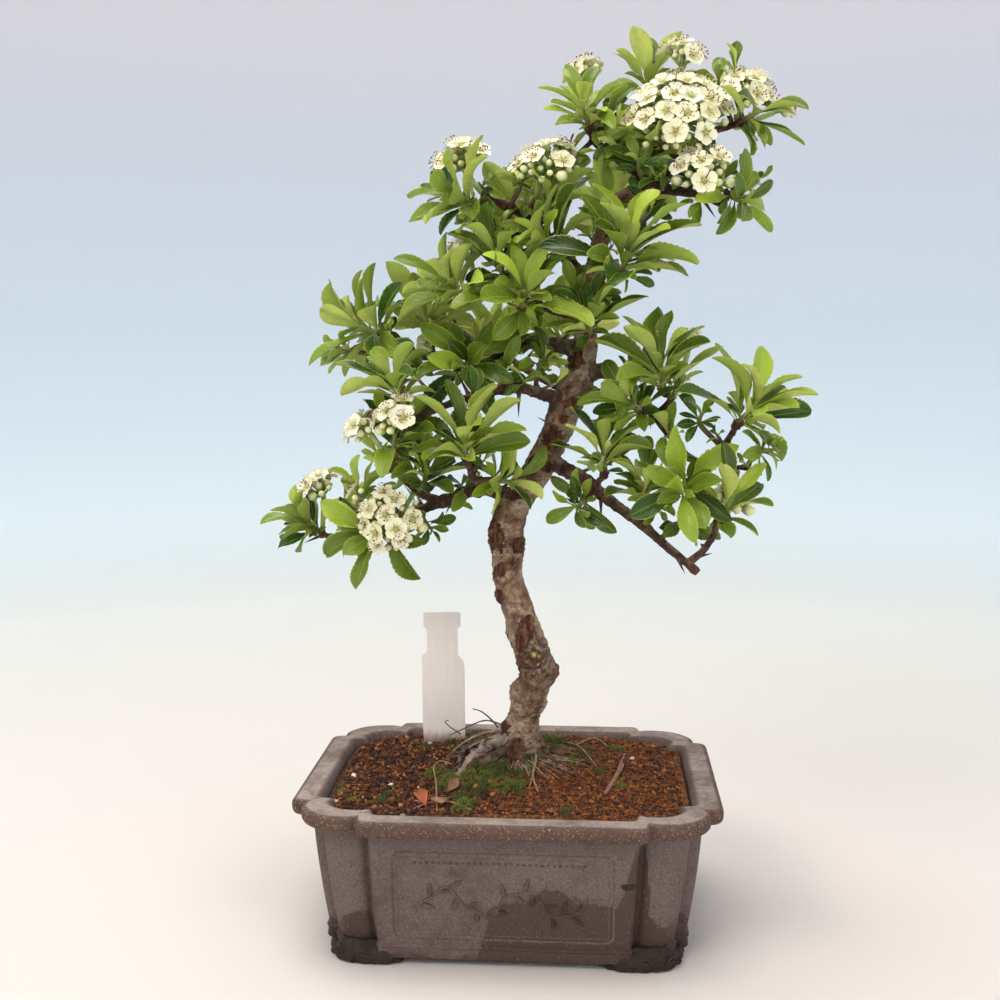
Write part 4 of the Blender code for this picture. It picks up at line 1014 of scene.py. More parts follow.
def fine_leaf(heap, leaf, chance, tint, shade, rows):
    """A leaf on its petiole with toothed wavy margins, folded on the midrib, as two sheets."""
    root, along, face, length, width, fold, curl = leaf
    across = along.cross(face).normalized()
    ripple, phase = chance.uniform(0.02, 0.10) * width, chance.uniform(0, math.tau)
    waves, twist, nod = chance.uniform(7.0, 13.0), chance.uniform(-0.6, 0.6), chance.uniform(-0.5, 1.2)
    fold *= chance.uniform(1.0, 2.2)
    if not within_box(root + along * length, slack=-4.0):
        nod = 0.0
    upper, lower, marks = [], [], []
    start = -0.9 / length
    for i in range(rows + 1):
        f = i / rows
        s = start + (1 - start) * f * (1.6 - 0.6 * f)
        bend = curl * s
        here = root + length * (along * math.sin(bend) - face * (1 - math.cos(bend))) / curl
        here = here - face * (0.10 * nod * length * max(0.0, s) ** 4)
        bend += nod * max(0.0, s) ** 4
        up = face * math.cos(bend) + along * math.sin(bend)
        turn = twist * s * s
        side = across * math.cos(turn) + up * math.sin(turn)
        up = up * math.cos(turn) - across * math.sin(turn)
        half = 0.5 * width * curve_at(LEAF_WIDTHS, max(s, 0.0))
        if 0.34 < s < 0.99:
            half *= 1.02 if i % 2 else 0.945
        for x in (-1.0, -0.52, 0.0, 0.52, 1.0):
            lift = half * fold * (abs(x) ** 1.15) - 0.28 * half * fold * x * x * s
            lift += ripple * math.sin(s * waves + phase + (1.3 if x > 0 else 0)) * x * x
            point = here + side * (half * x * (1 - 0.12 * fold)) + up * lift
            upper.append(point)
            lower.append(point - up * (0.24 * (1 - x * x) + 0.012))
            marks.append((0.5 + 0.5 * x, max(s, 0.0), tint, shade))
    top = sheet_faces(rows + 1, 5)
    heap.add((upper, top), marks, 0)
    heap.add((lower, [tuple(reversed(f)) for f in top]), marks, 1)


def within_box(point, slack=1.2):
    """True where a point in millimetres lies in the solid model's box, or just outside."""
    low, high = ([min(pair) for pair in zip(*cad_box)], [max(pair) for pair in zip(*cad_box)])
    return all(1000 * a - slack < p < 1000 * b + slack for a, p, b in zip(low, point, high))


# Bare wood in the picture: column, row, depth in mm and radius in pixels
SHOWN_WOOD = [
    (598, 345, 0, 14), (586, 372, 0, 15), (571, 400, 0, 16), (558, 428, 0, 16), (546, 455, 0, 16), (532, 484, 0, 14),
    (520, 512, 0, 14), (690, 195, -8, 10), (665, 190, -8, 10), (712, 202, -8, 8), (470, 396, 0, 8), (490, 392, 0, 8),
    (452, 402, 0, 8), (610, 490, -20, 8), (640, 520, -20, 8), (665, 545, -20, 8), (690, 560, -20, 10),
]
KEPT_VIEWS = []


def seen(point):
    """Column and row of a point in the picture, and its distance in mm."""
    ray = point - EYE
    right = Vector((math.cos(YAW), math.sin(YAW), 0))
    ahead = Vector((-math.sin(YAW) * math.cos(PITCH), math.cos(YAW) * math.cos(PITCH), -math.sin(PITCH)))
    far = ray.dot(ahead)
    return 500 + FOCAL * ray.dot(right) / far, 500 - FOCAL * ray.dot(right.cross(ahead)) / far, far


def hides_view(root, tip):
    """True where a leaf stands in front of a flower head or bare wood in the picture."""
    for share in (0.4, 0.7, 1.0):
        column, row, far = seen(root.lerp(tip, share))
        for at_column, at_row, at_far, radius in KEPT_VIEWS:
            if far < at_far and math.hypot(column - at_column, row - at_row) < radius:
                return True
    return False


def fill_leaves(key, chance, shoot, crowd, count, length):
    """Places for the smaller leaves that fill a rosette, clear of what is there."""
    axis, base, tip = shoot["axis"], shoot["path"][2], shoot["path"][3]
    side, other = square_to(axis)
    found = []
    for k in range(count):
        for attempt in range(16):
            level = chance.uniform(0.0, 1.0)
            root = base.lerp(tip, 0.02 + 0.95 * level)
            turn = chance.uniform(0, math.tau)
            lean = math.radians(86 - 66 * level + chance.uniform(-16, 16))
            out = spoke(side, other, turn)
            along = axis * math.cos(lean) + out * math.sin(lean)
            face = axis * math.sin(lean) - out * math.cos(lean)
            along = (along + Vector((0, 0, LIFT))).normalized()
            face = (face - along * face.dot(along)).normalized()
            roll = along.cross(face) * chance.uniform(-0.7, 0.7)
            face = (face + roll).normalized()
            long = length * chance.uniform(0.32, 0.90) * (1 - 0.02 * attempt)
            leaf = (root, along, face, long, long * chance.uniform(0.33, 0.47), chance.uniform(0.25, 0.5),
                    chance.uniform(0.1, 0.8))
            if not within_box(root + along * (long * 0.97)) or hides_view(root, root + along * long):
                continue
            same = ("shoot " + key, "leaves " + key)
            if crowd.meets(blade(*leaf), skip=same + ("outer " + key,)):
                continue
            if crowd.meets(blade(*leaf, near=0.3), skip=same):
                continue
            found.append(leaf)
            crowd.add(blade(*leaf), "leaves " + key)
            crowd.add(blade(*leaf, near=0.25), "outer " + key)
            break
    return found


def make_shoot(key, index, shoot, crowd, surfaces):
    """One rosette: its stem, bud scales, leaves and the smaller leaves between them."""
    heap = Heap()
    chance = random.Random(5000 + index)
    path, radii = resampled(shoot["path"], [1.35, 1.2, 1.3, 0.8], 1.0)
    path[0] = path[0] - (path[1] - path[0]).normalized() * 0.9
    marks = [(0, 0, i / (len(path) - 1), 0) for i in range(len(path)) for _ in range(8)]
    heap.add(tube(path, radii, 8), marks, 2)
    base, axis = shoot["path"][2], shoot["axis"]
    side, other = square_to(axis)
    for k in range(7):
        turn = k * 2.4 + index
        out = spoke(side, other, turn)
        root = base - axis * (1.6 - 0.35 * k) + out * 1.0
        tip = root + axis * 2.2 + out * chance.uniform(0.5, 1.1)
        heap.add(tube([root, root.lerp(tip, 0.5) + out * 0.3, tip], [0.65, 0.75, 0], 5, pointed=True),
                 (0, 0, chance.uniform(0.0, 0.25), 0), 2)
    mood = chance.uniform(0.30, 0.75)
    more, length = ROSETTES[key][6:8]
    small = fill_leaves(key, random.Random(4000 + index), shoot, crowd, more + 7, length)
    for number, leaf in enumerate(shoot["leaves"] + small):
        level = (leaf[0] - base).dot(axis) / 16.0
        tint = min(1.0, max(0.0, mood + 0.5 * (level - 0.4) + chance.uniform(-0.5, 0.5)))
        fine_leaf(heap, leaf, chance, tint, chance.random(),
                  LEAF_ROWS if number < len(shoot["leaves"]) else FILL_ROWS)
    heap.piece("leaves_" + key, surfaces, "leaf", ["leafy_shoot_" + key])


# Small tufts of leaves: picture column, row, depth, axis right, back, up, leaves, leaf length in mm
TUFTS = [
    (733, 84, -4, 0.1, -0.3, 1, 9, 20), (716, 92, 6, -0.1, 0.1, 1, 7, 19),
    (603, 128, 0, -0.1, -0.4, 1, 9, 20), (620, 140, -8, -0.2, -0.7, 0.6, 7, 18),
    (556, 172, -6, -0.2, -0.3, 1, 9, 24), (520, 186, -8, 0.1, -0.3, 1, 9, 24),
    (536, 196, -12, 0.1, -0.6, 0.8, 8, 20), (428, 374, 2, -0.2, -0.6, 0.6, 8, 19),
    (466, 380, -4, 0.1, -0.6, 0.5, 8, 19), (502, 372, 2, 0.2, -0.6, 0.7, 8, 19),
    (540, 366, -4, 0.3, -0.6, 0.5, 7, 17), (360, 500, 20, -0.5, -0.3, 1, 8, 22),
    (352, 512, 26, -0.3, -0.5, 0.8, 6, 18), (676, 524, -24, 0.4, -0.6, -0.35, 7, 19),
    (656, 510, -24, 0.2, -0.6, 0.2, 6, 17), (758, 452, -30, 0.7, -0.5, 0.15, 7, 20),
    (712, 186, -10, 0.4, -0.6, 0.1, 6, 16), (742, 186, -10, 0.8, -0.3, 0.2, 7, 20),
    (424, 512, 22, 0.5, -0.5, -0.5, 6, 16), (580, 300, -8, -0.2, -0.8, 0.3, 7, 18),
    (536, 262, -8, 0.1, -0.7, 0.5, 7, 18), (480, 214, -8, -0.6, -0.5, -0.1, 8, 22),
    (700, 424, -24, 0.1, -0.7, 0.5, 7, 19), (356, 352, 14, -0.9, -0.3, 0.1, 7, 22),
    (640, 172, -16, -0.1, -0.8, 0.5, 8, 20), (662, 180, -18, 0.1, -0.8, 0.4, 8, 18),
    (625, 158, -14, -0.3, -0.7, 0.6, 8, 20), (648, 204, -14, 0.1, -0.7, -0.2, 6, 15),
    (604, 300, -12, 0.4, -0.7, 0.2, 6, 16), (500, 232, -10, -0.3, -0.6, 0.5, 8, 22),
]


def make_tufts(wood, crowd, surfaces):
    """The small tufts of the table, and spurs of a few tiny leaves along every branch."""
    heap, chance = Heap(), random.Random(9100)
    plan = []
    for number, row in enumerate(TUFTS):
        axis = Vector(row[3:6]).normalized()
        path = shoot_path(wood, spot(*row[:3]))
        arm = path[2] - path[0]
        path[2] = path[0] + arm * min(1.0, 13.0 / arm.length)
        axis = eased(axis, path)
        plan.append((axis, path + [path[2] + axis * 7.0], row[6] + 5, row[7], 1.0, TUFT_ROWS))
    for points, thick, thin_end in BRANCHES:
        way, sizes = resampled([spot(*p) for p in points], [thick] * (len(points) - 1) + [thin_end], 1.0)
        for k in range(7, len(way) - 2, 7):
            column, row, _ = seen(way[k])
            if column > 560 and row > 470:
                continue
            turn = chance.uniform(0, math.tau)
            axis = Vector((math.cos(turn), math.sin(turn) - 0.3, chance.uniform(0.0, 1.4))).normalized()
            hit = wood.find_nearest(way[k] + axis * 12.0)[0]
            base = hit + axis * chance.uniform(1.0, 4.5)
            path = [hit, hit.lerp(base, 0.5), base, base + axis * 3.0]
            plan.append((axis, path, chance.choice((2, 3, 4)), chance.uniform(12.0, 19.0), 0.62,
                         SPUR_ROWS))
    for number, (axis, path, count, length, stout, rows) in enumerate(plan):
        key = "tuft %d" % number
        small = fill_leaves(key, chance, {"axis": axis, "path": path}, crowd, count, length)
        if not small:
            continue
        way, sizes = resampled(path, [1.2 * stout, 1.0 * stout, 1.1 * stout, 0.6 * stout], 1.0)
        way[0] = way[0] - (way[1] - way[0]).normalized() * 0.9
        heap.add(tube(way, sizes, 7), [(0, 0, i / len(way), 0) for i in range(len(way)) for _ in range(7)], 2)
        mood = chance.uniform(0.1, 0.8)
        for leaf in small:
            tint = min(1.0, max(0.0, mood + chance.uniform(-0.3, 0.3)))
            fine_leaf(heap, leaf, chance, tint, chance.random(), rows)
    heap.piece("leaf_tufts", surfaces, "leaf")


# Flowers
PETAL_WIDTHS = [(0.0, 0.14), (0.14, 0.20), (0.34, 0.62), (0.52, 0.92), (0.68, 1.0), (0.82, 0.88), (0.93, 0.60),
                (1.0, 0.24)]


def fine_flower(heap, place, face, wide, spin, chance):
    """Five round petals apart, a green centre and a ring of stamens."""
    side, other = square_to(face, (0.3, 0.2, 1.0))
    cup = chance.uniform(0.05, 0.38)
    tint, dark = chance.random(), chance.random() < 0.62
    for p in range(5):
        heading = spin + math.tau * p / 5 + chance.uniform(-0.08, 0.08)
        out = spoke(side, other, heading)
        over = face.cross(out)
        tilt, droop = cup + chance.uniform(-0.15, 0.15), chance.uniform(0.0, 0.6)
        corners, marks = [], []
        for i in range(8):
            u = i / 7
            reach = 0.5 + (0.98 * wide - 0.5) * u
            half = 0.45 * wide * curve_at(PETAL_WIDTHS, u)
            for x in (-1.0, -0.5, 0.0, 0.5, 1.0):
                rim = reach - 0.05 * wide * x * x * u * u
                lift = 0.35 + tilt * reach * (1 - 0.5 * droop * u) + 0.13 * wide * x * x * (1.0 - 0.3 * u)
                lift += 0.035 * wide * math.sin(3 * x + 5 * u + p) * u
                corners.append(place + out * rim + over * (half * x) + face * lift)
                marks.append((x, u, tint, 0))
        heap.add((corners, [(a, d, c, b) for a, b, c, d in sheet_faces(8, 5)]), marks, 0)
    dome = [place - face * 0.4, place + face * 0.35, place + face * 0.7, place + face * 0.9]
    heap.add(tube(dome, [0.7, 1.15, 0.85, 0.2], 9), (0, 0, chance.random(), 0), 1)
    for k in range(18):
        turn = spin + math.tau * k / 18 + chance.uniform(-0.14, 0.14)
        out = spoke(side, other, turn)
        root = place + out * 0.95 + face * 0.5
        splay, tall = chance.uniform(0.6, 2.4), chance.uniform(1.7, 3.2)
        tip = root + out * splay + face * tall
        heap.add(tube([root, root + out * splay * 0.35 + face * tall * 0.55, tip], [0.14, 0.12, 0.09], 3),
                 (0, 0, 1, 0), 2)
        size = chance.uniform(0.27, 0.38)
        heap.add(tube([tip - face * size, tip, tip + face * size], [0.12, size, 0.1], 4),
                 (0, 0, chance.random(), 0), 3 if dark and chance.random() < 0.75 else 2)
    for k in range(5):
        turn = spin + math.tau * (k + 0.5) / 5
        out = spoke(side, other, turn)
        root = place + out * 0.3 + face * 0.8
        heap.add(tube([root, root + out * 0.25 + face * 1.1], [0.16, 0.2], 4), (0, 0, 1, 0), 1)


def fine_bud(heap, place, face, wide, spin, chance):
    """A round closed bud in its calyx."""
    side, other = square_to(face, (0.3, 0.2, 1.0))
    corners, marks = [], []
    tint = chance.random() * 0.4
    for i in range(1, 7):
        polar = math.pi * i / 7
        for k in range(10):
            turn = spin + math.tau * k / 10
            ray = spoke(side, other, turn) * math.sin(polar) + face * math.cos(polar) * 1.1
            seam = 1.0 - 0.06 * (1 + math.cos(turn * 2.5))
            corners.append(place + ray * wide * seam)
            marks.append((0, 0.13 + 0.07 * (1 + math.cos(polar)), tint, 0))
    faces = [(a, d, c, b) for a, b, c, d in ring_faces(6, 10)]
    faces += [tuple(range(10)), tuple(reversed(range(50, 60)))]
    heap.add((corners, faces), marks, 0)
    heap.add(tube([place - face * wide * 1.3, place - face * wide * 0.8, place - face * wide * 0.15],
                  [0.5, wide * 0.78, wide * 1.04], 8), (0, 0, chance.random(), 0), 4)


def make_head(key, index, head, surfaces):
    """One flower head: open flowers and buds on branching stalks."""
    heap = Heap()
    chance = random.Random(6000 + index)
    axis, size, hub = head["axis"], head["size"], head["hub"]
    blooms = list(head["blooms"])
    side, other = square_to(axis)
    dome = size * min(1.2, 0.78 + 0.04 * (size - 8))
    centre = hub + axis * (size * 0.55 + 4.0 - dome)
    widest = math.asin(min(0.97, (size - 2.4) / dome))
    for k in range(210):
        polar = widest * 1.14 * math.sqrt((k + 0.5) / 210)
        turn = k * GOLDEN + index + 0.7
        ray = axis * math.cos(polar) + spoke(side, other, turn) * math.sin(polar)
        place = centre + ray * (dome - chance.uniform(0.2, 2.6))
        near = min([(place - b[1]).length for b in blooms] + [99])
        if near < 3.5:
            continue
        is_open = near > 5.1
        wide = chance.uniform(4.9, 5.8) if is_open else chance.uniform(1.2, 1.7)
        lean = Vector((chance.uniform(-0.4, 0.4), chance.uniform(-0.4, 0.4), chance.uniform(-0.4, 0.4)))
        blooms.append((is_open, place, (ray + axis * 0.2 + lean).normalized(), None, wide, chance.uniform(0, 6.2)))
    foot = head["path"]
    way, radii = resampled(foot + [hub + axis * size * 0.25], [1.2, 1.1, 1.15, 1.0], 1.0)
    way[0] = way[0] - (way[1] - way[0]).normalized() * 0.9
    heap.add(tube(way, radii, 8), (0, 0, 0.6, 0), 4)
    for is_open, place, face, _, wide, spin in blooms:
        fork = hub + axis * size * chance.uniform(0.05, 0.25)
        base = place - face * (0.3 if is_open else wide * 1.2)
        knee = fork.lerp(base, 0.55) + (base - fork).cross(axis).cross(axis) * -0.12
        way, radii = resampled([fork, knee, base], [0.62, 0.5, 0.55], 2.0)
        heap.add(tube(way, radii, 6), (0, 0, chance.random(), 0), 4)
        if is_open:
            heap.add(tube([base - face * 1.7, base - face * 0.5, base + face * 0.35], [0.55, 1.25, 1.7], 8),
                     (0, 0, chance.random(), 0), 4)
            fine_flower(heap, place, face, wide, spin, chance)
        else:
            fine_bud(heap, place, face, wide, spin, chance)
    heap.piece("flowers_" + key, surfaces, "petal", ["flower_head_" + key])


# Wood
# Marks of the trunk: picture column and row, heading round it in degrees, half height and half width in mm,
# slant in degrees, lip, hollow, and a kind: 0 swelling, 1 old wound, 2 ringed knot
FEATURES = [
    (500, 532, 214, 8.6, 4.6, 28, 2.0, 1.0, 1), (522, 543, -44, 4.6, 3.2, 10, 1.5, 1.3, 1),
    (504, 566, -103, 2.5, 7.0, 34, 0.6, 0.5, 1), (501, 592, 219, 2.5, 2.9, 0, 1.3, 1.0, 1),
    (529, 606, -33, 5.6, 2.6, -8, 1.7, 0.0, 0), (527, 627, -78, 4.8, 3.4, -24, 0.9, 0.7, 1),
    (519, 637, -112, 3.0, 1.8, -20, 0.5, 0.6, 1), (505, 630, 184, 4.6, 3.2, 0, 1.5, 0.0, 0),
    (534, 655, -90, 5.4, 5.0, 0, 2.0, 0.4, 2), (520, 654, -134, 3.4, 2.3, 0, 0.5, 0.8, 1),
    (552, 669, -4, 3.6, 3.0, 0, 2.6, 0.0, 0), (509, 693, 184, 3.6, 3.0, 0, 2.2, 0.0, 0),
    (542, 697, -6, 2.8, 2.4, 0, 1.2, 0.0, 0), (513, 733, 214, 5.0, 3.4, 15, 1.5, 0.4, 1),
    (538, 738, -30, 4.2, 2.6, 0, 1.3, 0.0, 0), (521, 742, -96, 3.4, 3.2, 0, 1.1, 0.5, 1),
    (549, 438, -92, 4.4, 3.9, 0, 1.2, 1.3, 1), (557, 418, -84, 2.3, 1.7, -10, 0.5, 0.3, 1),
    (536, 462, -112, 2.0, 3.0, 30, 0.6, 0.5, 1), (552, 462, -66, 2.0, 2.2, -20, 0.7, 0.5, 1),
    (573, 403, -88, 1.5, 2.6, 20, 0.5, 0.2, 1), (574, 358, -128, 6.6, 4.2, 20, 1.0, 0.8, 1),
    (592, 384, -10, 3.0, 2.4, 0, 1.2, 0.0, 0), (560, 404, 190, 3.0, 2.4, 0, 1.0, 0.0, 0),
    (511, 508, 170, 3.6, 3.0, 0, 1.0, 0.0, 0), (515, 497, -120, 2.0, 3.2, 20, 0.5, 0.4, 1),
    (520, 600, 90, 6.5, 4.0, 12, 1.2, 0.8, 1), (530, 680, 100, 5.0, 4.0, 0, 1.4, 0.5, 1),
    (545, 450, 95, 5.0, 3.6, 0, 1.2, 0.8, 1), (590, 300, 20, 3.6, 2.8, 0, 0.7, 0.3, 1),
    (510, 550, 80, 4.0, 3.6, 0, 1.3, 0.0, 0), (565, 410, 70, 4.0, 3.0, 20, 1.0, 0.6, 1),
]


def trunk_marks(here, ray, radius, foot):
    """Lift of the trunk's surface at a point, and its scar, thinness with painted shade in the bark's hollows, and
    moss.
    """
    height, turn = here.z, math.atan2(ray.y, ray.x)
    at = here + ray * radius
    lift = 0.055 * radius * math.sin(3 * turn + height * 0.07) * math.cos(height * 0.31)
    scar = 0.0
    for level, heading, tall, wide, slant, lip, hollow, kind in foot:
        up = height - level
        if abs(up) > 2.2 * tall + 2.2 * wide:
            continue
        over = math.remainder(turn - heading, math.tau) * radius
        a, b = over * math.cos(slant) + up * math.sin(slant), up * math.cos(slant) - over * math.sin(slant)
        d = math.hypot(a / wide, b / tall) + 0.34 * noise.noise(at * 0.6) + 0.20 * noise.noise(at * 1.5)
        if d > 2.2:
            continue
        if kind == 0:
            lift += lip * math.exp(-1.3 * d * d) * (1 + 0.35 * noise.noise(at * 0.9))
            scar = max(scar, 0.30 * math.exp(-2.0 * d * d))
        elif kind == 1:
            lift += lip * math.exp(-((d - 0.98) / 0.30) ** 2) + 0.35 * lip * math.exp(-d * d)
            inner = max(0.0, min(1.0, (1.02 - d) / 0.25))
            lift -= inner * hollow * (1 + 1.1 * noise.noise(at * 1.3))
            scar = max(scar, inner)
        else:
            lift += lip * math.exp(-0.9 * d * d) + 0.60 * math.cos(d * 14.0) * math.exp(-0.6 * d * d)
            scar = max(scar, 0.85 * (0.5 - 0.5 * math.cos(d * 14.0)) * math.exp(-0.45 * d * d))
    rough = noise.fractal(at * 0.6, 0.9, 2.2, 4)
    rings = noise.fractal(Vector((at.x * 0.28, at.y * 0.28, at.z * 0.85)), 0.9, 2.1, 3)
    lift += 0.55 * noise.fractal(at * 0.17, 1.0, 2.1, 4) + (0.26 + 0.18 * (height < 112)) * rough
    lift += (0.28 + 0.30 * (height < 122)) * rings
    flare = math.exp(-max(0.0, height - 70.0) / 5.0)
    lift += flare * (1.0 + 1.2 * max(0.0, math.sin(3 * turn + 0.4)) + 0.9 * rough)
    scar = max(scar, min(0.75, 0.8 * flare * (0.6 + noise.noise(at * 0.35))))
    moss = min(1.0, 1.3 * flare * max(0.0, noise.noise(at * 0.14) + 0.4))
    # Painted shade: where rings and roughness sink the surface, thin turns the bark towards the darker twig colour;
    # thin also rises a little above 175 mm.
    crease_shade = max(0.0, -0.9 * rings - 0.7 * rough - 0.12)
    thin = 0.08 + 0.92 * min(1.0, max(0.0, (4.0 - radius) / 1.8)) + crease_shade * (0.6 + 0.7 * (height < 122))
    thin = max(thin, min(0.10, (height - 175.0) / 600.0))
    return lift, min(1.0, scar), min(1.0, thin), moss


def fine_wood(soil_tree):
    """Trunk, branches, thorns and surface roots with their bark, as one mesh."""
    heap = Heap()
    foot = TRUNK_FOOT
    path = [foot + Vector((0, 0, z)) for z in (60.0, 71.5, 77.0)]
    radii = [PLUG_RADIUS, PLUG_RADIUS, 7.4]
    for column, row, depth, radius in TRUNK:
        path.append(spot(column, row, depth))
        radii.append(radius * (path[-1].y + TRUNK_FAR) / FOCAL * 0.985)
    path, radii = resampled(path, radii, 0.75)
    marks, sides = [], 62
    turned = [(spot(column, row, 0).z, math.radians(heading), tall, wide, math.radians(slant), lip, hollow, kind)
              for column, row, heading, tall, wide, slant, lip, hollow, kind in FEATURES]

    def swell(here, ray, radius):
        lift, scar, thin, moss = trunk_marks(here, ray, radius, turned)
        marks.append((scar, thin, moss, max(0.0, ray.z)))
        return lift
    heap.add(tube(path, radii, sides, swell=swell), marks)
    lump(heap, spot(534, 655, -10.4), (1.15, 0.9, 1.25), (0, 0, 0.4, 0), 0.0, 8, 12, 0.3, 1)
    lump(heap, spot(534.5, 655, -10.9), (0.55, 0.8, 0.8), (0, 0, 1.0, 0), 0.4, 7, 10, 0.2, 1)

    bark = tree_of(join(wood_plan()))
    for number, (points, thick, thin_end) in enumerate(BRANCHES):
        way = [spot(*p) for p in points]
        last = len(way) - 1
        sizes = [thick + (thin_end - thick) * (i / last) ** 0.8 for i in range(last + 1)]
        way, sizes = resampled(way, sizes, 1.1)
        marks = []

        def twig_swell(here, ray, radius):
            at = here + ray * radius
            knot = max(0.0, noise.noise(here * 0.16 + Vector((number, 0, 0)))) ** 2
            rough = noise.fractal(at * 0.6, 1.0, 2.0, 4)
            marks.append((0.22 + 0.9 * knot, min(1.0, 0.75 + 0.35 * (3.2 - radius)), 0.0, max(0.0, ray.z)))
            return radius * (1.0 * knot + 0.20 * rough)
        heap.add(tube(way, sizes, 16, swell=twig_swell), marks)
        chance = random.Random(7000 + number)
        for k in range(4, len(way) - 2, 5):
            turn = chance.uniform(0, math.tau)
            out = Vector((math.cos(turn), math.sin(turn), chance.uniform(-0.3, 0.9))).normalized()
            root = way[k] + out * sizes[k] * 0.7
            heap.add(tube([root, root + out * 0.9, root + out * chance.uniform(1.4, 2.6)], [0.9, 0.75, 0], 6,
                          pointed=True), (0.75, 1, 0, 0))
    for column, row, depth, right, back, up in THORNS:
        hit, normal, _, _ = bark.find_nearest(spot(column, row, depth))
        root = hit - normal * 0.9
        run = Vector((right, back, up)) * 1.1
        steps = [root + run * f for f in (0.0, 0.12, 0.35, 0.7, 1.0)]
        heap.add(tube(steps, [1.1, 0.85, 0.6, 0.33, 0], 8, pointed=True), (0.15, 1, 0, 0))
    for heading, length, radius, bend, rise in ROOTS:
        way, sizes = [], []
        for i in range(9):
            f = i / 8
            turn = math.radians(heading + bend * f * f)
            run = 2.5 + (length + 1.5) * f
            x, y = foot.x + run * math.cos(turn), foot.y + run * math.sin(turn)
            size = radius * (1.05 - 0.62 * f)
            hit = soil_tree.ray_cast(Vector((x, y, 200)), Vector((0, 0, -1)))[0]
            hop = ((1 - f) ** 2 * (rise - 0.8) + 0.7 * math.sin(math.pi * f)
                   + 0.5 * noise.noise(Vector((x, y, 0)) * 0.25))
            way.append(Vector((x, y, hit.z + size * 0.25 + hop)))
            sizes.append(size)
        way, sizes = resampled(way, sizes, 0.9)
        marks = []

        def root_swell(here, ray, radius):
            at = here + ray * radius
            mossy = 1.5 * max(0.0, 0.25 + noise.noise(at * 0.13))
            marks.append((0.30 + 0.8 * noise.noise(at * 0.3), 0.50, min(1.0, mossy), 0))
            return radius * (0.50 * noise.fractal(at * 0.45, 0.9, 2.0, 4) + 0.30 * noise.noise(at * 1.1))
        heap.add(tube(way, sizes, 16, swell=root_swell), marks)
    return heap


# Pot
def pot_outline(z, inset):
    """The source's outline with rounder lobes and a soft groove at each step."""
    hx, hy = POT_HALF_X - inset, POT_HALF_Y - inset
    nx, ny = NOTCH_X - NOTCH_SLOPE * inset, NOTCH_Y - NOTCH_SLOPE * inset
    radius = LOBE_RADIUS - 0.6 * inset
    lobe_x, lobe_y = hx - LOBE_STEP, hy - LOBE_STEP
    cx, cy = lobe_x - radius, lobe_y - radius
    quarter = [(nx - 8.0, hy), (nx - 2.6, hy), (nx - 0.8, hy - 0.25), (nx + 0.3, hy - 1.3), (nx + 0.75, lobe_y + 1.2),
               (nx + 1.2, lobe_y - 0.9), (nx + 2.1, lobe_y - 1.3), (nx + 3.5, lobe_y - 0.5), (nx + 5.4, lobe_y)]
    for angle in (80, 66, 52, 38, 26, 16):
        a = math.radians(angle)
        quarter.append((cx + radius * math.cos(a), cy + radius * math.sin(a)))
    quarter += [(lobe_x - 0.5, ny + 3.5), (lobe_x - 1.3, ny + 2.1), (lobe_x - 0.9, ny + 1.2), (lobe_x + 1.2, ny + 0.75),
                (hx - 1.3, ny + 0.3), (hx - 0.25, ny - 0.8), (hx, ny - 2.6), (hx, ny - 8.0)]
    points = [(x, -y) for x, y in quarter] + [(x, y) for x, y in reversed(quarter)]
    points += [(-x, y) for x, y in quarter] + [(-x, -y) for x, y in reversed(quarter)]
    return [Vector((x, y, z)) for x, y in points]


def pot_profile():
    """Height and inset of the pot's rings, outside up and inside down."""
    wall = [(WALL_LOW_Z + (WALL_TOP_Z - WALL_LOW_Z) * f,
             WALL_LOW_INSET + (WALL_TOP_INSET - WALL_LOW_INSET) * f - 0.5 * math.sin(math.pi * f)) for f in
            [0.03, 0.06] + [k / 24 for k in range(2, 24)] + [0.98]]
    return ([(FOOT_HEIGHT, WALL_LOW_INSET + 3.0), (FOOT_HEIGHT, WALL_LOW_INSET + 0.4),
             (FOOT_HEIGHT + 0.3, WALL_LOW_INSET - 0.5), (FOOT_HEIGHT + 1.0, WALL_LOW_INSET - 0.9),
             (WALL_LOW_Z - 1.3, WALL_LOW_INSET - 0.6), (WALL_LOW_Z - 0.95, WALL_LOW_INSET - 1.0),
             (WALL_LOW_Z - 0.5, WALL_LOW_INSET - 1.1), (WALL_LOW_Z - 0.1, WALL_LOW_INSET - 0.7),
             (WALL_LOW_Z + 0.3, WALL_LOW_INSET - 0.1)] + wall[1:] +
            [(52.2, 7.6), (53.2, 7.5), (53.7, 6.8), (54.0, 5.4), (54.3, 3.6), (54.8, 2.0), (55.4, 0.9), (56.3, 0.35),
             (57.5, 0.1), (58.8, 0.0), (59.9, 0.1), (60.7, 0.6), (61.1, 1.4), (RIM_TOP_Z, 2.4), (RIM_TOP_Z, 5.0),
             (RIM_TOP_Z - 0.05, 8.4), (RIM_TOP_Z - 0.35, RIM_WIDTH - 1.0), (60.2, RIM_WIDTH - 0.2),
             (59.0, RIM_WIDTH + 0.3), (48.0, 13.6), (30.0, 16.0), (FLOOR_Z, FLOOR_INSET), (FLOOR_Z, FLOOR_INSET + 9)])


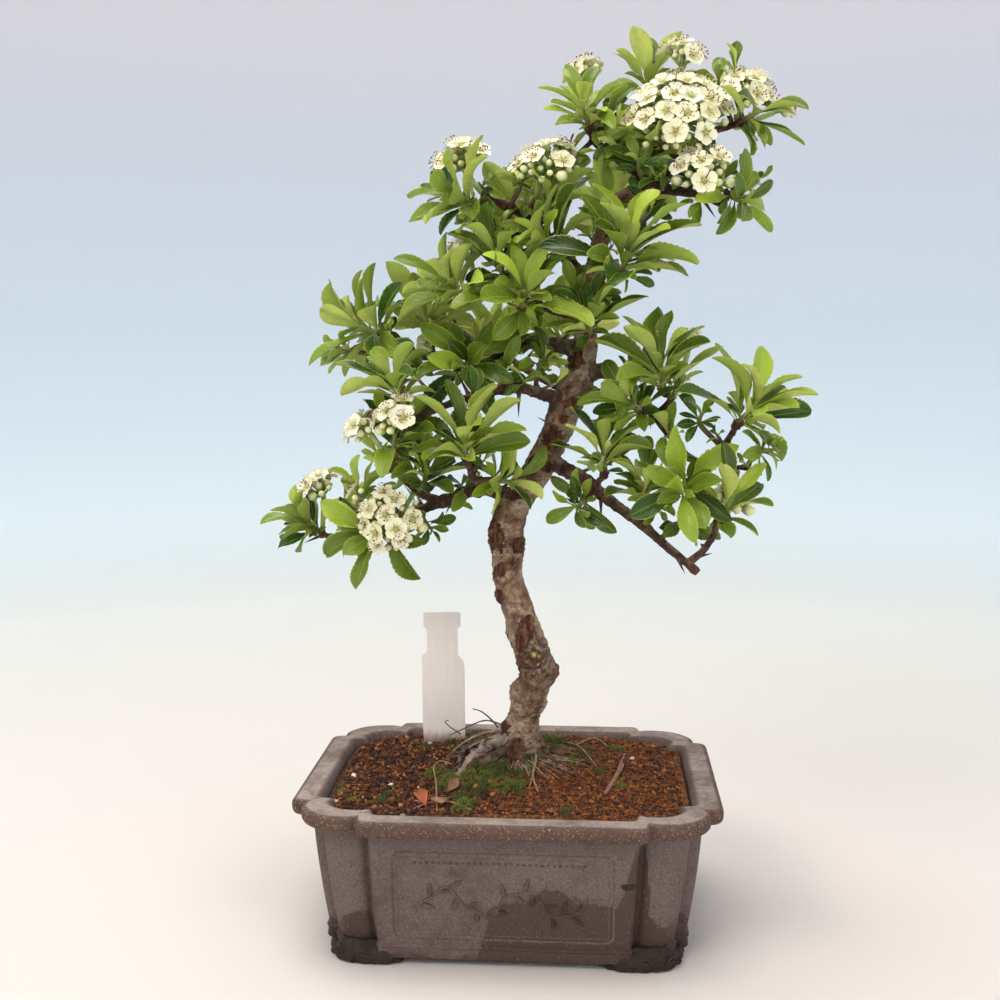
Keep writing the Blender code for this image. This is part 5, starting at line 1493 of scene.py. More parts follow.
def fine_pot():
    """The pot's body, panel borders and feet in fine meshes."""
    heap = Heap()
    profile = pot_profile()
    rings = [chaikin(pot_outline(z, inset), 1) for z, inset in profile]
    cuts = [max(1, round((a - b).length / 2.5)) for a, b in zip(rings[0][1:] + rings[0][:1], rings[0])]
    rings = [[a.lerp(b, k / n) for a, b, n in zip(ring, ring[1:] + ring[:1], cuts) for k in range(n)]
             for ring in rings]
    n = len(rings[0])
    corners, marks = [], []
    for (z, inset), ring in zip(profile, rings):
        for i, c in enumerate(ring):
            bump = 0.22 * noise.fractal(c * 0.05, 1.0, 2.0, 3)
            corners.append(Vector((c.x * (1 + bump * 0.0022), c.y * (1 + bump * 0.0022), min(c.z, RIM_TOP_Z))))
            corners[-1] = Vector((max(-POT_HALF_X, min(POT_HALF_X, corners[-1].x)),
                                  max(-POT_HALF_Y, min(POT_HALF_Y, corners[-1].y)), corners[-1].z))
            # Dark mark: darker towards the bottom at the corners above the feet, and painted shade in the groove at
            # each notch.
            low = max(0.0, 1 - (z - FOOT_HEIGHT) / 8.0) if abs(c.x) > 50 else 0.0
            groove = math.exp(-((abs(c.x) - NOTCH_X + NOTCH_SLOPE * inset - 2.0) / 2.0) ** 2) * (z < 54)
            wet = wetness(c)
            wear = 1.0 if 54.5 < z and inset < 1.6 else 0.12 * (z > 60.5)
            # Painted top light: full on the rim's top, a third on its front edge.
            top = 1.0 if z > 60.9 and inset < RIM_WIDTH - 0.5 else 0.35 * (z > 60.0 and inset < 3)
            marks.append((wear, max(0.6 * low, 0.35 * groove), top, wet))
    heap.add((corners, ring_faces(len(rings), n)), marks)
    for turn_down, z, inset in ((True, *profile[0]), (False, *profile[-1])):
        pot_floor(heap, z, inset, turn_down)
    for half, side in ((42.0, 270), (42.0, 90), (29.0, 0), (29.0, 180)):
        panel_border(heap, half, side)
        panel_relief(heap, half, side)
    for x, z, size, sides in ((47.2, 35.5, (2.6, 0.22, 1.4), 14), (49.6, 35.9, (1.6, 0.2, 0.6), 12)):
        stain = Vector((x, wall_inset(z) - POT_HALF_Y, z))
        lump(heap, stain, size, (0, 1.0, 0, 1.0), 0.0, 7, sides, 0.5)
    for x in (-1, 1):
        for y in (-1, 1):
            fine_foot(heap, x, y)
    return heap


# Sides of a drain hole
DRAIN_SIDES = 24


def drain_ring(x, z):
    """Corners round a drain hole at a height."""
    turns = [math.tau * k / DRAIN_SIDES for k in range(DRAIN_SIDES)]
    return [Vector((x + DRAIN_RADIUS * math.cos(a), DRAIN_RADIUS * math.sin(a), z)) for a in turns]


def pot_floor(heap, z, inset, down):
    """A level floor with the two drain holes left open."""
    edge = chaikin(pot_outline(z, inset), 1)
    n = len(edge)
    corners = list(edge)
    holes = []
    for x in (-DRAIN_X, DRAIN_X):
        holes.append(range(len(corners), len(corners) + DRAIN_SIDES))
        corners += drain_ring(x, z)
    polygon = [[(c.x, c.y, 0) for c in corners[:n]]] + [[tuple(corners[i][:2]) + (0,) for i in h] for h in holes]
    faces = []
    for tri in tessellate_polygon([[Vector(p) for p in loop] for loop in polygon]):
        a, b, c = (corners[i] for i in tri)
        up = (b - a).cross(c - a).z > 0
        faces.append(tuple(tri) if up != down else tuple(reversed(tri)))
    heap.add((corners, faces), (0, 0.1, 0, 0))
    if down:
        for x in (-DRAIN_X, DRAIN_X):
            lip = drain_ring(x, FOOT_HEIGHT) + drain_ring(x, FLOOR_Z)
            heap.add((lip, ring_faces(2, DRAIN_SIDES)), (0, 0.1, 0, 0))


def wall_inset(z):
    """Inset of the sloping wall at a height."""
    share = (z - WALL_LOW_Z) / (WALL_TOP_Z - WALL_LOW_Z)
    return WALL_LOW_INSET + (WALL_TOP_INSET - WALL_LOW_INSET) * share - 0.5 * math.sin(math.pi * share)


def wall_side(side):
    """A call that puts a place along and up one wall, and raised off it, into the pot's space."""
    heading = math.radians(side)
    out = Vector((math.cos(heading), math.sin(heading), 0))
    over = Vector((-out.y, out.x, 0))
    reach = POT_HALF_Y if side % 180 else POT_HALF_X

    def on_wall(u, z, lift):
        return out * (reach - wall_inset(z) + lift) + over * u + Vector((0, 0, z))
    return on_wall


# Height up to which the wall is damp, along it from the left, in mm
DAMP = [(-80, 12), (-66, 12), (-58, 20), (-52, 20), (-48, 4), (-10, 2), (-6, 20), (0, 27), (8, 28), (12, 33), (22, 32),
        (27, 26), (34, 31), (42, 24), (46, 34), (50, 50), (54, 50), (56, 18), (80, 15)]


def wetness(point):
    """How wet the wall is at a point: half at the edge of the damp part, more below it."""
    along = point.x if point.y < 0 else -point.x
    edge = curve_at(DAMP, along) + 3.0 * noise.noise(point * 0.12) + 1.5 * noise.noise(point * 0.35)
    return max(0.0, min(1.0, 0.5 + (edge - point.z) / 12.0)) if point.z < 53 else 0.3


def panel_relief(heap, half, side):
    """A plain traditional low relief: a row of studs over a running vine."""
    chance = random.Random(300 + side)
    on_wall = wall_side(side)
    stud = (0.75, 0.42, 0.62) if side % 180 else (0.42, 0.75, 0.62)
    for k in range(int((half - 8.0) / 1.15)):
        middle = on_wall(-half + 8.6 + 2.3 * k, 43.2 + chance.uniform(-0.15, 0.15), -0.1)
        lump(heap, middle, stud, (0.1, 0.42, 0, 0), 0.0, 4, 7)
    vine = []
    for k in range(int((half - 8.0) / 0.6)):
        u = -half + 8.0 + 1.2 * k
        vine.append((u, 27.0 + 5.5 * math.sin(u * 0.21) + 1.2 * math.sin(u * 0.57 + 1.0)))
    heap.add(tube([on_wall(u, z, 0.25) for u, z in vine], [0.55] * len(vine), 7),
             [(0.1, 0.12, 0, wetness(on_wall(u, z, 0))) for u, z in vine for _ in range(7)])
    for number in range(2, len(vine) - 2, 3):
        (u0, z0), (a, b), (u1, z1) = vine[number - 1:number + 2]
        hand = 1 if number % 2 else -1
        angle = math.atan2(z1 - z0, u1 - u0) + hand * chance.uniform(0.75, 1.15)
        long, wide = chance.uniform(4.6, 6.8), chance.uniform(1.1, 1.5)
        corners, marks = [], []
        for i in range(7):
            s = i / 6
            half_wide = wide * math.sin(math.pi * min(1.0, s * 0.94 + 0.03)) ** 0.8
            for x, lift in ((-1, -0.15), (-0.4, 0.95), (0, 0.5), (0.4, 0.95), (1, -0.15)):
                p = a + long * s * math.cos(angle) - half_wide * x * math.sin(angle)
                q = b + long * s * math.sin(angle) + half_wide * x * math.cos(angle)
                corners.append(on_wall(p, q, lift * math.sin(math.pi * (0.1 + 0.8 * s))))
                # The dark mark paints shade at the edges of each relief leaf.
                marks.append((0.1, 0.75 * abs(x) ** 3, 0, wetness(corners[-1])))
        heap.add((corners, [(a, d, c, b) for a, b, c, d in sheet_faces(7, 5)]), marks)


def panel_border(heap, half, side):
    """A fine raised bead round a wall panel, with a fainter one inside it."""
    on_wall = wall_side(side)
    for border, bead in ((0.0, 0.50), (1.8, 0.24)):
        low, high, wide = 11.2 + border, 47.2 - border, half - border
        radius = 3.4 - border
        marks = []
        for cx, cz, start in ((wide - radius, low + radius, -90), (wide - radius, high - radius, 0),
                              (-wide + radius, high - radius, 90), (-wide + radius, low + radius, 180)):
            for k in range(7):
                a = math.radians(start + 15 * k)
                marks.append((cx + radius * math.cos(a), cz + radius * math.sin(a)))
        dense = []
        for i, (u, z) in enumerate(marks):
            u2, z2 = marks[(i + 1) % len(marks)]
            cuts = max(1, int(math.hypot(u2 - u, z2 - z) / 3))
            dense += [(u + (u2 - u) * k / cuts, z + (z2 - z) * k / cuts) for k in range(cuts)]
        m = len(dense)
        corners, faces = [], []
        for i, (u, z) in enumerate(dense):
            u0, z0 = dense[i - 1]
            u2, z2 = dense[(i + 1) % m]
            span = math.hypot(u2 - u0, z2 - z0)
            nu, nz = (z2 - z0) / span, -(u2 - u0) / span
            for k in range(6):
                a = math.radians(-20 + 44 * k)
                sideways, lift = math.cos(a) * bead, math.sin(a) * bead * 0.8 - 0.12
                corners.append(on_wall(u + nu * sideways, z + nz * sideways, lift))
        for i in range(m):
            j = (i + 1) % m
            for k in range(5):
                faces.append((i * 6 + k, j * 6 + k, j * 6 + k + 1, i * 6 + k + 1))
        heap.add((corners, faces), (0.25, 0, 0, 0.3))


def lump(heap, middle, size, mark, turn=0.0, rings=7, sides=12, rough=0.06, slot=0):
    """A rounded boulder of given half sizes."""
    corners = []
    for i in range(rings + 1):
        polar = math.pi * i / rings
        for k in range(sides):
            a = math.tau * k / sides
            ray = Vector((math.sin(polar) * math.cos(a), math.sin(polar) * math.sin(a), math.cos(polar)))
            swell = 1 + rough * noise.noise(ray * 2.1 + middle * 0.3)
            x, y, z = ray.x * size[0] * swell, ray.y * size[1] * swell, ray.z * size[2] * swell
            corners.append(middle + Vector((x * math.cos(turn) - y * math.sin(turn),
                                            x * math.sin(turn) + y * math.cos(turn), z)))
    faces = [(a, d, c, b) for a, b, c, d in ring_faces(rings + 1, sides)]
    heap.add((corners, faces), mark, slot)


# Scrolls round a foot: along, out, radius in mm and the way each one faces, in degrees
FOOT_SCROLLS = [(5.0, -2.0, 2.3, 270), (13.0, -2.2, 2.4, 270), (23.4, 0.6, 2.3, 315), (27.2, 11.6, 2.3, 0),
                (28.2, 20.0, 2.3, 0)]


def fine_foot(heap, sign_x, sign_y):
    """Cloud shaped corner foot: a rounded base with scrolls, ridges and toes."""
    plan = [(0, -1.0), (4.6, -3.2), (8.6, -1.4), (12.6, -3.2), (17.4, -1.0), (21.0, -1.2), (24.6, 2.0),
            (25.4, 6.4), (28.6, 11.0), (27.4, 15.6), (29.6, 20.0), (27.6, 24.6), (22.0, 25.0),
            (16.4, 11.0), (1.0, 6.0)]
    start, middle = Vector((41.0, -51.6, 0)), Vector((14.0, 12.0, 0))

    def at(x, y, z):
        return Vector(((start.x + x) * sign_x, (start.y + y) * sign_y, z))
    rings = []
    for z, grow in ((0.0, -1.7), (0.2, -0.8), (0.8, 0.1), (1.8, 0.3), (3.0, 0.1), (4.2, -0.5), (5.2, -1.4), (6.4, -2.6),
                    (8.4, -3.6)):
        ring = []
        for i, (x, y) in enumerate(plan):
            ray = (Vector((x, y, 0)) - middle).normalized() * (grow if i < 12 else 0.0)
            ring.append(at(x + ray.x, y + ray.y, z))
        if sign_x * sign_y < 0:
            ring.reverse()
        rings.append(chaikin(ring, 2))
    heap.add(loft(rings), (0.0, 1.0, 0, 0.5))
    for x, y, size, heading in FOOT_SCROLLS:
        turn = math.radians(heading)
        out, over = Vector((math.cos(turn), math.sin(turn), 0)), Vector((-math.sin(turn), math.cos(turn), 0))
        centre = Vector((x, y, 3.0)) - out * 1.0
        for scale, bead in ((1.0, 0.62), (0.42, 0.6)):
            ringed = []
            for k in range(13):
                a = math.tau * k / 12 * (0.92 if scale == 1.0 else 1.0)
                point = centre + over * (math.cos(a) * size * scale) + Vector((0, 0, math.sin(a) * size * scale))
                point += out * (0.9 - 0.35 * scale + 0.3 * math.sin(a))
                ringed.append(at(point.x, point.y, min(5.6, max(0.7, point.z))))
            heap.add(tube(ringed, [bead * (1 - 0.35 * k / 12) for k in range(13)], 7), (0.15, 0.85, 0, 0.4))
    for x, y, wide in ((0.6, 0.4, 2.4), (9.0, -0.9, 3.0), (18.0, -0.3, 2.8), (25.6, 6.3, 2.6), (27.2, 15.8, 2.6),
                       (26.2, 23.6, 2.2)):
        lump(heap, at(x - 0.6, y + 0.6, 1.3), (wide, wide, 1.28), (0.0, 1.0, 0, 0.5))


# Soil
def fine_soil():
    """Soil body with a crumbly mounded top; returns its heap and a search tree."""
    heap = Heap()
    rings, marks = [], []
    for z, inset in ((FLOOR_Z + 0.35, FLOOR_INSET), (30.0, 16.3), (48.0, 13.9), (SOIL_EDGE_Z - 0.6, RIM_WIDTH + 1.9)):
        rings.append(chaikin(outline(z, inset)))
        # Third mark: painted shade down the buried sides.
        marks += [(0, 0, 0.6, 0)] * len(rings[-1])
    edge = chaikin(outline(SOIL_EDGE_Z, RIM_WIDTH + 1.9))
    middle = TRUNK_FOOT
    steps = 74
    for k in range(steps):
        scale = 0.995 * (1 - k / steps) + 0.015
        ring = []
        for c in edge:
            x = middle.x + (c.x - middle.x) * scale
            y = middle.y + (c.y - middle.y) * scale
            here = Vector((x, y, 0))
            coarse = 0.5 + 0.5 * max(-1.0, min(1.0, -x / 50))
            rough = (0.55 + 0.6 * coarse) * noise.fractal(here * 0.28, 0.8, 2.1, 5)
            rough += 0.5 * noise.fractal(here * 1.1, 0.9, 2.0, 3)
            ring.append(Vector((x, y, mound(x, y) + 0.5 + rough)))
            # Third mark: painted shade, darker where the rough top sinks.
            marks.append((0, 0, max(0.0, min(1.0, 0.35 - rough * 0.5)), 0))
        rings.append(ring)
    solid = loft(rings)
    heap.add(solid, marks)
    return heap, tree_of(solid)


def under(soil_tree, x, y):
    """Point of the soil's top at a place, or None where there is no soil."""
    return soil_tree.ray_cast(Vector((x, y, 120)), Vector((0, 0, -1)))[0]


def ground(soil_tree, column, row, lift=0.0):
    """Point of the soil seen at a place in the picture, raised a little."""
    hit = soil_tree.ray_cast(EYE, (spot(column, row, 0) - EYE).normalized())[0]
    return hit + Vector((0, 0, lift)) if hit else None


def inside_soil(x, y, margin):
    """True where a place lies on the soil, clear of the rim."""
    hx, hy = POT_HALF_X - RIM_WIDTH - 2.0 - margin, POT_HALF_Y - RIM_WIDTH - 2.0 - margin
    x, y = abs(x), abs(y)
    if x > hx or y > hy:
        return False
    return (max(0.0, x - (hx - 14.0)) ** 2 + max(0.0, y - (hy - 14.0)) ** 2) < 12.5 ** 2


# Clods, grains and fibres that are tried on the soil
CLODS, GRAINS, FIBRES = 800, 9000, 2200


def clods(soil_tree):
    """Rough lumps of soil, larger at the left and along the front edge."""
    heap = Heap()
    chance = random.Random(84)
    for number in range(CLODS):
        x, y = chance.uniform(-70, 70), chance.uniform(-52, 52)
        if number % 3 == 0:
            y = -52 + 7.0 * chance.random() ** 1.5
        if not inside_soil(x, y, 0.6) or (Vector((x, y, 0)) - TRUNK_FOOT).length < 9:
            continue
        hit = under(soil_tree, x, y)
        if hit is None:
            continue
        coarse = x < -12 + chance.uniform(-14, 14)
        size = chance.uniform(0.7, 1.5) * (1.05 if coarse else 0.85)
        tone = 0.75 * chance.random() ** (1.7 if coarse else 1.0)
        lump(heap, hit + Vector((0, 0, 0.1)),
             (size, size * chance.uniform(0.7, 1.0), size * chance.uniform(0.45, 0.75)),
             (0, 0, tone, 0), chance.uniform(0, 3), 4, 7, 0.9)
    return heap


def crumbs(soil_tree):
    """Loose grains, chips and fibres over the soil."""
    heap = Heap()
    chance = random.Random(81)
    for _ in range(GRAINS):
        x, y = chance.uniform(-72, 72), chance.uniform(-54, 54)
        if not inside_soil(x, y, 0.5):
            continue
        hit = under(soil_tree, x, y)
        if hit is None or (Vector((x, y, 0)) - TRUNK_FOOT).length < 9:
            continue
        coarse = 1.0 if x < -12 + chance.uniform(-14, 14) else 0.0
        size = chance.uniform(0.28, 0.78) * (1.0 + 0.3 * coarse)
        if chance.random() < 0.05 * (1 + coarse):
            size *= 1.9
        turn = Matrix.Rotation(chance.uniform(0, math.tau), 3, Vector((chance.random(), chance.random(), 1)))
        rays = [Vector(v) for v in ((1, 0, 0), (0, 1, 0), (-1, 0, 0), (0, -1, 0), (0, 0, 1), (0, 0, -1))]
        flat = chance.uniform(0.45, 1.0)
        corners = []
        for r in rays:
            swell = size * chance.uniform(0.6, 1.4)
            corners.append(hit + Vector((0, 0, size * 0.25)) + turn @ Vector((r.x * 1.3, r.y, r.z * flat)) * swell)
        faces = [(0, 1, 4), (1, 2, 4), (2, 3, 4), (3, 0, 4), (1, 0, 5), (2, 1, 5), (3, 2, 5), (0, 3, 5)]
        tone = 0.93 * chance.random() ** 1.8 if coarse else 0.02 + 0.90 * chance.random() ** 1.15
        if chance.random() < 0.006:
            tone = 1.0
        heap.add((corners, faces), (0, 0, tone, 0))
    for _ in range(FIBRES):
        x, y = chance.uniform(-70, 70), chance.uniform(-52, 52)
        if not inside_soil(x, y, 2.0) or (x < -10 and chance.random() < 0.55):
            continue
        hit = under(soil_tree, x, y)
        if hit is None or (Vector((x, y, 0)) - TRUNK_FOOT).length < 8:
            continue
        turn, long = chance.uniform(0, math.tau), chance.uniform(1.0, 4.2)
        ahead = Vector((math.cos(turn), math.sin(turn), 0)) * long
        over = Vector((-ahead.y, ahead.x, 0)) * chance.uniform(-0.3, 0.3)
        points = [hit + ahead * f + over * f * (1 - f) * 2 + Vector((0, 0, 0.3 + chance.uniform(-0.2, 0.7)))
                  for f in (-0.5, 0.0, 0.5)]
        size = chance.uniform(0.09, 0.22)
        heap.add(tube(points, [size, size, size * 0.5], 4), (0, 0, 0.35 + 0.5 * chance.random(), 0))
    return heap


# Moss cushions: picture column, row, radius in mm, thickness in mm
MOSS = [
    (500, 772, 7.0, 3.6), (516, 788, 5.0, 2.6), (470, 778, 6.5, 3.2), (546, 742, 6.5, 3.2), (558, 752, 5.0, 2.4),
    (530, 762, 5.0, 2.6), (452, 744, 4.5, 2.6), (474, 740, 5.0, 3.0), (446, 790, 5.5, 2.6), (462, 806, 5.5, 2.4),
    (488, 776, 6.5, 2.2), (504, 784, 5.5, 1.8), (478, 788, 6.0, 2.2), (459, 800, 5.0, 1.8), (446, 782, 5.5, 2.2),
    (436, 772, 4.0, 1.6), (548, 738, 5.0, 2.4), (560, 742, 4.5, 2.2), (481, 733, 5.0, 2.6), (484, 744, 4.5, 2.4),
    (457, 752, 4.0, 2.0), (468, 806, 4.5, 2.0), (426, 776, 3.5, 1.2), (540, 752, 4.5, 2.0), (598, 772, 3.6, 1.2),
    (619, 786, 3.6, 1.3), (566, 812, 3.2, 1.6), (382, 802, 4.0, 1.0), (352, 800, 3.6, 1.0), (388, 794, 3.0, 1.0),
    (570, 760, 5.0, 1.3), (590, 750, 4.0, 1.2), (518, 774, 4.0, 1.2), (490, 764, 5.0, 2.0), (340, 792, 3.0, 0.9),
]


# Moss behind the trunk: right and back of the middle, size and thickness in mm
BACK_MOSS = [(20, 22, 7, 2.0), (-12, 24, 8, 2.2), (2, 18, 9, 2.4), (44, 30, 5, 1.4), (-40, 28, 5, 1.2),
             (30, 8, 4, 1.4)]


def moss_cushions(soil_tree):
    """Tufts of short pointed moss blades on low cushions."""
    heap = Heap()
    chance = random.Random(82)
    spots = [(ground(soil_tree, c, r), size, thick) for c, r, size, thick in MOSS]
    spots += [(Vector((x, y, 0)), size, thick) for x, y, size, thick in BACK_MOSS]
    for middle, size, thick in spots:
        if middle is None:
            continue
        bright = chance.uniform(0.05, 0.75)
        for _ in range(int(15 * size * size) + 40):
            turn, reach = chance.uniform(0, math.tau), size * math.sqrt(chance.random())
            wobble = 1 + 0.7 * noise.noise(Vector((math.cos(turn), math.sin(turn), middle.x * 0.1)) * 1.7)
            x, y = middle.x + reach * wobble * math.cos(turn), middle.y + reach * wobble * math.sin(turn)
            if not inside_soil(x, y, 0.5) or (Vector((x, y, 0)) - TRUNK_FOOT).length < 7.5:
                continue
            hit = under(soil_tree, x, y)
            if hit is None or noise.noise(Vector((x, y, 0)) * 0.45) < -0.18:
                continue
            dome = thick * max(0.0, 1 - (reach / size) ** 2)
            root = hit + Vector((0, 0, dome * 0.55 - 0.3))
            lean = Vector((chance.uniform(-0.6, 0.6), chance.uniform(-0.6, 0.6), 1)).normalized()
            tall = chance.uniform(0.6, 1.5) + dome * 0.35
            size_b = chance.uniform(0.15, 0.30)
            tint = min(1.0, max(0.0, bright + chance.uniform(-0.35, 0.35)))
            corners, faces = tube([root, root + lean * tall], [size_b, 0], 3, pointed=True)
            heap.add((corners, faces[1:]), [(0, 0.1, tint, 0)] * 3 + [(0, 1.0, tint, 0)])
    return heap


def strand(heap, points, thick, thin, mark, slot, step=1.2, sides=7, rough=0.15):
    """A dry root, stalk or twig through given points."""
    way, sizes = resampled(points, [thick + (thin - thick) * i / (len(points) - 1) for i in range(len(points))], step)

    def swell(here, ray, radius):
        at = here + ray * radius
        return radius * rough * (noise.fractal(at * 0.7, 0.8, 2.0, 4) + 0.8 * noise.noise(at * 0.28))
    heap.add(tube(way, sizes, sides, swell=swell), mark, slot)


def dry_leaf(heap, root, along, face, long, wide, slot, tint, curl=0.5):
    """A fallen leaf or scale, a little cupped."""
    across = along.cross(face).normalized()
    corners, marks = [], []
    for i in range(11):
        s = i / 10
        here = root + along * (long * s) + face * (curl * long * (s * s - s) * 0.6)
        half = 0.5 * wide * curve_at(LEAF_WIDTHS, s)
        for x in (-1, -0.5, 0, 0.5, 1):
            corners.append(here + across * (half * x) + face * (0.22 * wide * x * x))
            marks.append((0.5 + 0.5 * x, s, tint, 0))
    heap.add((corners, sheet_faces(11, 5)), marks, slot)


# Loose roots in the air: steps from the trunk's foot in mm, first and last radius, tone, then fineness
FREE_ROOTS = [
    (((-7.0, 3.0, 77.0), (-16.0, 7.0, 74.5), (-25.0, 9.0, 69.5), (-32.0, 10.0, 63.0)), 0.7, 0.25, 0.55, 1.0, 8, 0.3),
    (((-7.0, 1.0, 76.0), (-15.0, 3.0, 73.0), (-24.0, 3.0, 68.0), (-30.0, 2.0, 62.0)), 0.55, 0.25, 0.6, 1.0, 8, 0.3),
    (((-7.0, 2.0, 79.0), (-13.0, 4.0, 80.5), (-17.5, 5.0, 80.0), (-25.0, 7.0, 76.0), (-31.0, 9.0, 72.5)),
     0.42, 0.22, 0.1),
    (((-10.0, 3.0, 78.0), (-13.0, 2.0, 82.0), (-17.0, 1.0, 85.5), (-20.5, 1.0, 86.5)), 0.35, 0.25, 0.05),
    (((-26.0, 6.0, 74.0), (-30.0, 5.0, 77.0), (-32.5, 5.0, 79.5), (-31.0, 4.0, 80.5)), 0.3, 0.2, 0.05),
]
# Stalks on the soil: picture column, row and height in mm of each step, first and last radius, tone and surface
STALKS = [
    (((533, 748, 3.0), (536, 762, 1.8), (533, 778, 1.0), (538, 793, 0.6)), 0.6, 0.4, 0.55, 1),
    (((527, 752, 2.0), (534, 770, 1.6), (529, 790, 0.6)), 0.42, 0.28, 0.3, 1),
    (((622, 768, 1.2), (614, 782, 1.0), (605, 795, 0.5)), 1.0, 0.8, 0.2, 2),
    (((618, 773, 1.4), (622, 766, 2.6), (625, 762, 3.6)), 0.4, 0.25, 0.4, 2),
    (((413, 811, 0.7), (430, 806, 1.4), (450, 805, 1.2), (472, 812, 0.8)), 0.42, 0.3, 0.3, 2),
    (((437, 812, 0.5), (436, 790, 3.4), (434, 776, 4.0), (441, 768, 3.0), (452, 768, 1.6)), 0.34, 0.26, 0.5, 1),
    (((563, 745, 1.5), (580, 752, 2.2), (596, 768, 0.8)), 0.4, 0.25, 0.4, 1),
    (((575, 748, 1.2), (595, 742, 1.8), (612, 752, 0.6)), 0.35, 0.2, 0.5, 1),
]
# Fallen leaves: picture column, row and height in mm, way it points, way it faces, length, width, surface and tint
FALLEN = [
    ((426, 809, 0.6), (-0.30, 0.10, 0.95), (0.25, -0.95, 0.15), 8.2, 4.6, 3, 0.9),
    ((452, 800, 0.8), (-0.45, -0.60, 0.12), (0.1, -0.35, 0.93), 12.0, 4.6, 4, 0.5),
    ((446, 798, 1.6), (0.35, 0.75, 0.35), (0.2, -0.5, 0.85), 9.0, 4.2, 4, 0.3),
    ((540, 813, 0.5), (1, 0.1, 0.05), (0, 0, 1), 7.5, 3.0, 5, 0.3),
    ((512, 813, 0.5), (1, 0.15, 0.05), (0, 0, 1), 7.0, 2.6, 4, 0.8),
    ((549, 756, 1.4), (1, 0.1, 0.05), (0, -0.5, 0.85), 7.5, 4.2, 5, 0.1),
]
# White chips: picture column, row and half length in mm
CHIPS = [(430, 745, 1.6), (632, 760, 1.7), (335, 803, 1.6), (354, 777, 1.7), (448, 740, 1.0), (391, 786, 1.3),
         (556, 727, 0.8), (405, 726, 0.7)]
ROOT_THREADS = 190


def litter(soil_tree):
    """Arching root, loose roots, stalks, fallen leaves and white chips."""
    heap = Heap()

    def on(column, row, lift):
        return ground(soil_tree, column, row, lift)
    base = TRUNK_FOOT
    strand(heap, [base + Vector((-4.5, -5.0, 75.0)), base + Vector((-9.0, -8.0, 75.5)), on(487, 757, 4.2),
                  on(472, 766, 3.0), on(461, 776, 0.6), on(457, 781, -1.2)],
           2.4, 1.1, (0.12, 0, 0.50, 0), 0, 0.5, 20, 0.75)
    strand(heap, [base + Vector((-6.5, -2.0, 73.0)), on(478, 752, 3.6), on(466, 754, 2.6), on(460, 762, 0.0)],
           1.7, 1.0, (0.2, 0, 0.10, 0), 0, 0.5, 18, 0.8)
    for steps, thick, thin, tone, *fineness in FREE_ROOTS:
        strand(heap, [base + Vector(step) for step in steps], thick, thin, (0, 0, tone, 0), 0, *fineness)
    for steps, thick, thin, tone, slot in STALKS:
        strand(heap, [on(*step) for step in steps], thick, thin, (0, 0, tone, 0), slot)
    chance = random.Random(83)
    for _ in range(ROOT_THREADS):
        turn = math.radians(chance.uniform(110, 415))
        start = base + Vector((7.5 * math.cos(turn), 7.5 * math.sin(turn), 0))
        far = chance.uniform(12, 34)
        end = base + Vector((far * math.cos(turn + 0.3), far * math.sin(turn + 0.3) * 0.8, 0))
        if not inside_soil(end.x, end.y, 3):
            continue
        points = []
        for f in (0.0, 0.35, 0.7, 1.0):
            here = start.lerp(end, f) + Vector((chance.uniform(-1.5, 1.5), chance.uniform(-1.5, 1.5), 0))
            hit = under(soil_tree, here.x, here.y)
            points.append(hit + Vector((0, 0, 0.4 + chance.uniform(0, 1.2) * (1 - f))))
        size = chance.uniform(0.14, 0.40)
        strand(heap, points, size, size * 0.5, (0, 0, 0.7 * chance.random(), 0), chance.choice((0, 0, 1)), 1.6, 5)
    for place, along, face, long, wide, slot, tint in FALLEN:
        dry_leaf(heap, on(*place), Vector(along).normalized(), Vector(face).normalized(), long, wide, slot, tint)
    for column, row, size in CHIPS:
        middle = on(column, row, 0.7)
        if middle:
            lump(heap, middle, (size, size * 0.6, size * 0.45), (0, 0, chance.random(), 0), chance.uniform(0, 3),
                 5, 8, 0.5, 6)
    return heap


def fine_label(surface):
    """The blank label with soft corners and a rounded edge."""
    marks = [(0.0, -9.0), (9.0, -5.0), (9.5, 34.6), (8.7, 38.0), (6.7, 39.6), (6.7, 52.0),
             (8.1, 52.6), (8.1, 59.0), (-8.1, 59.0), (-8.1, 52.6), (-6.7, 52.0), (-6.9, 41.6),
             (-9.2, 39.6), (-9.5, 10.0), (-9.0, -5.0)]
    shape = bpy.data.curves.new("label", "CURVE")
    shape.dimensions = "2D"
    shape.fill_mode = "BOTH"
    shape.extrude = (LABEL_THICK * 0.5 - LABEL_EDGE) * MM
    shape.bevel_depth = LABEL_EDGE * MM
    shape.bevel_resolution = 2
    line = shape.splines.new("POLY")
    soft = []
    for i, here in enumerate(marks):
        here = Vector(here)
        before, after = Vector(marks[i - 1]), Vector(marks[(i + 1) % len(marks)])
        cut = min(0.8, 0.4 * (here - before).length, 0.4 * (after - here).length)
        a = here + (before - here).normalized() * cut
        b = here + (after - here).normalized() * cut
        for t in (0.0, 0.33, 0.67, 1.0):
            soft.append(a * (1 - t) ** 2 + here * 2 * t * (1 - t) + b * t * t)
    line.points.add(len(soft) - 1)
    line.use_cyclic_u = True
    for point, here in zip(line.points, soft):
        point.co = (here.x * MM, here.y * MM, 0.0, 1.0)
    shape.materials.append(surface)
    made = bpy.data.objects.new("label", shape)
    bpy.context.scene.collection.objects.link(made)
    turn = Euler((math.radians(90) - LABEL_TILT, -LABEL_LEAN, 0.0)).to_matrix().to_4x4()
    made.matrix_world = Matrix.Translation(LABEL_AT * MM) @ turn
    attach(made, "root")
    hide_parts("plant_label")
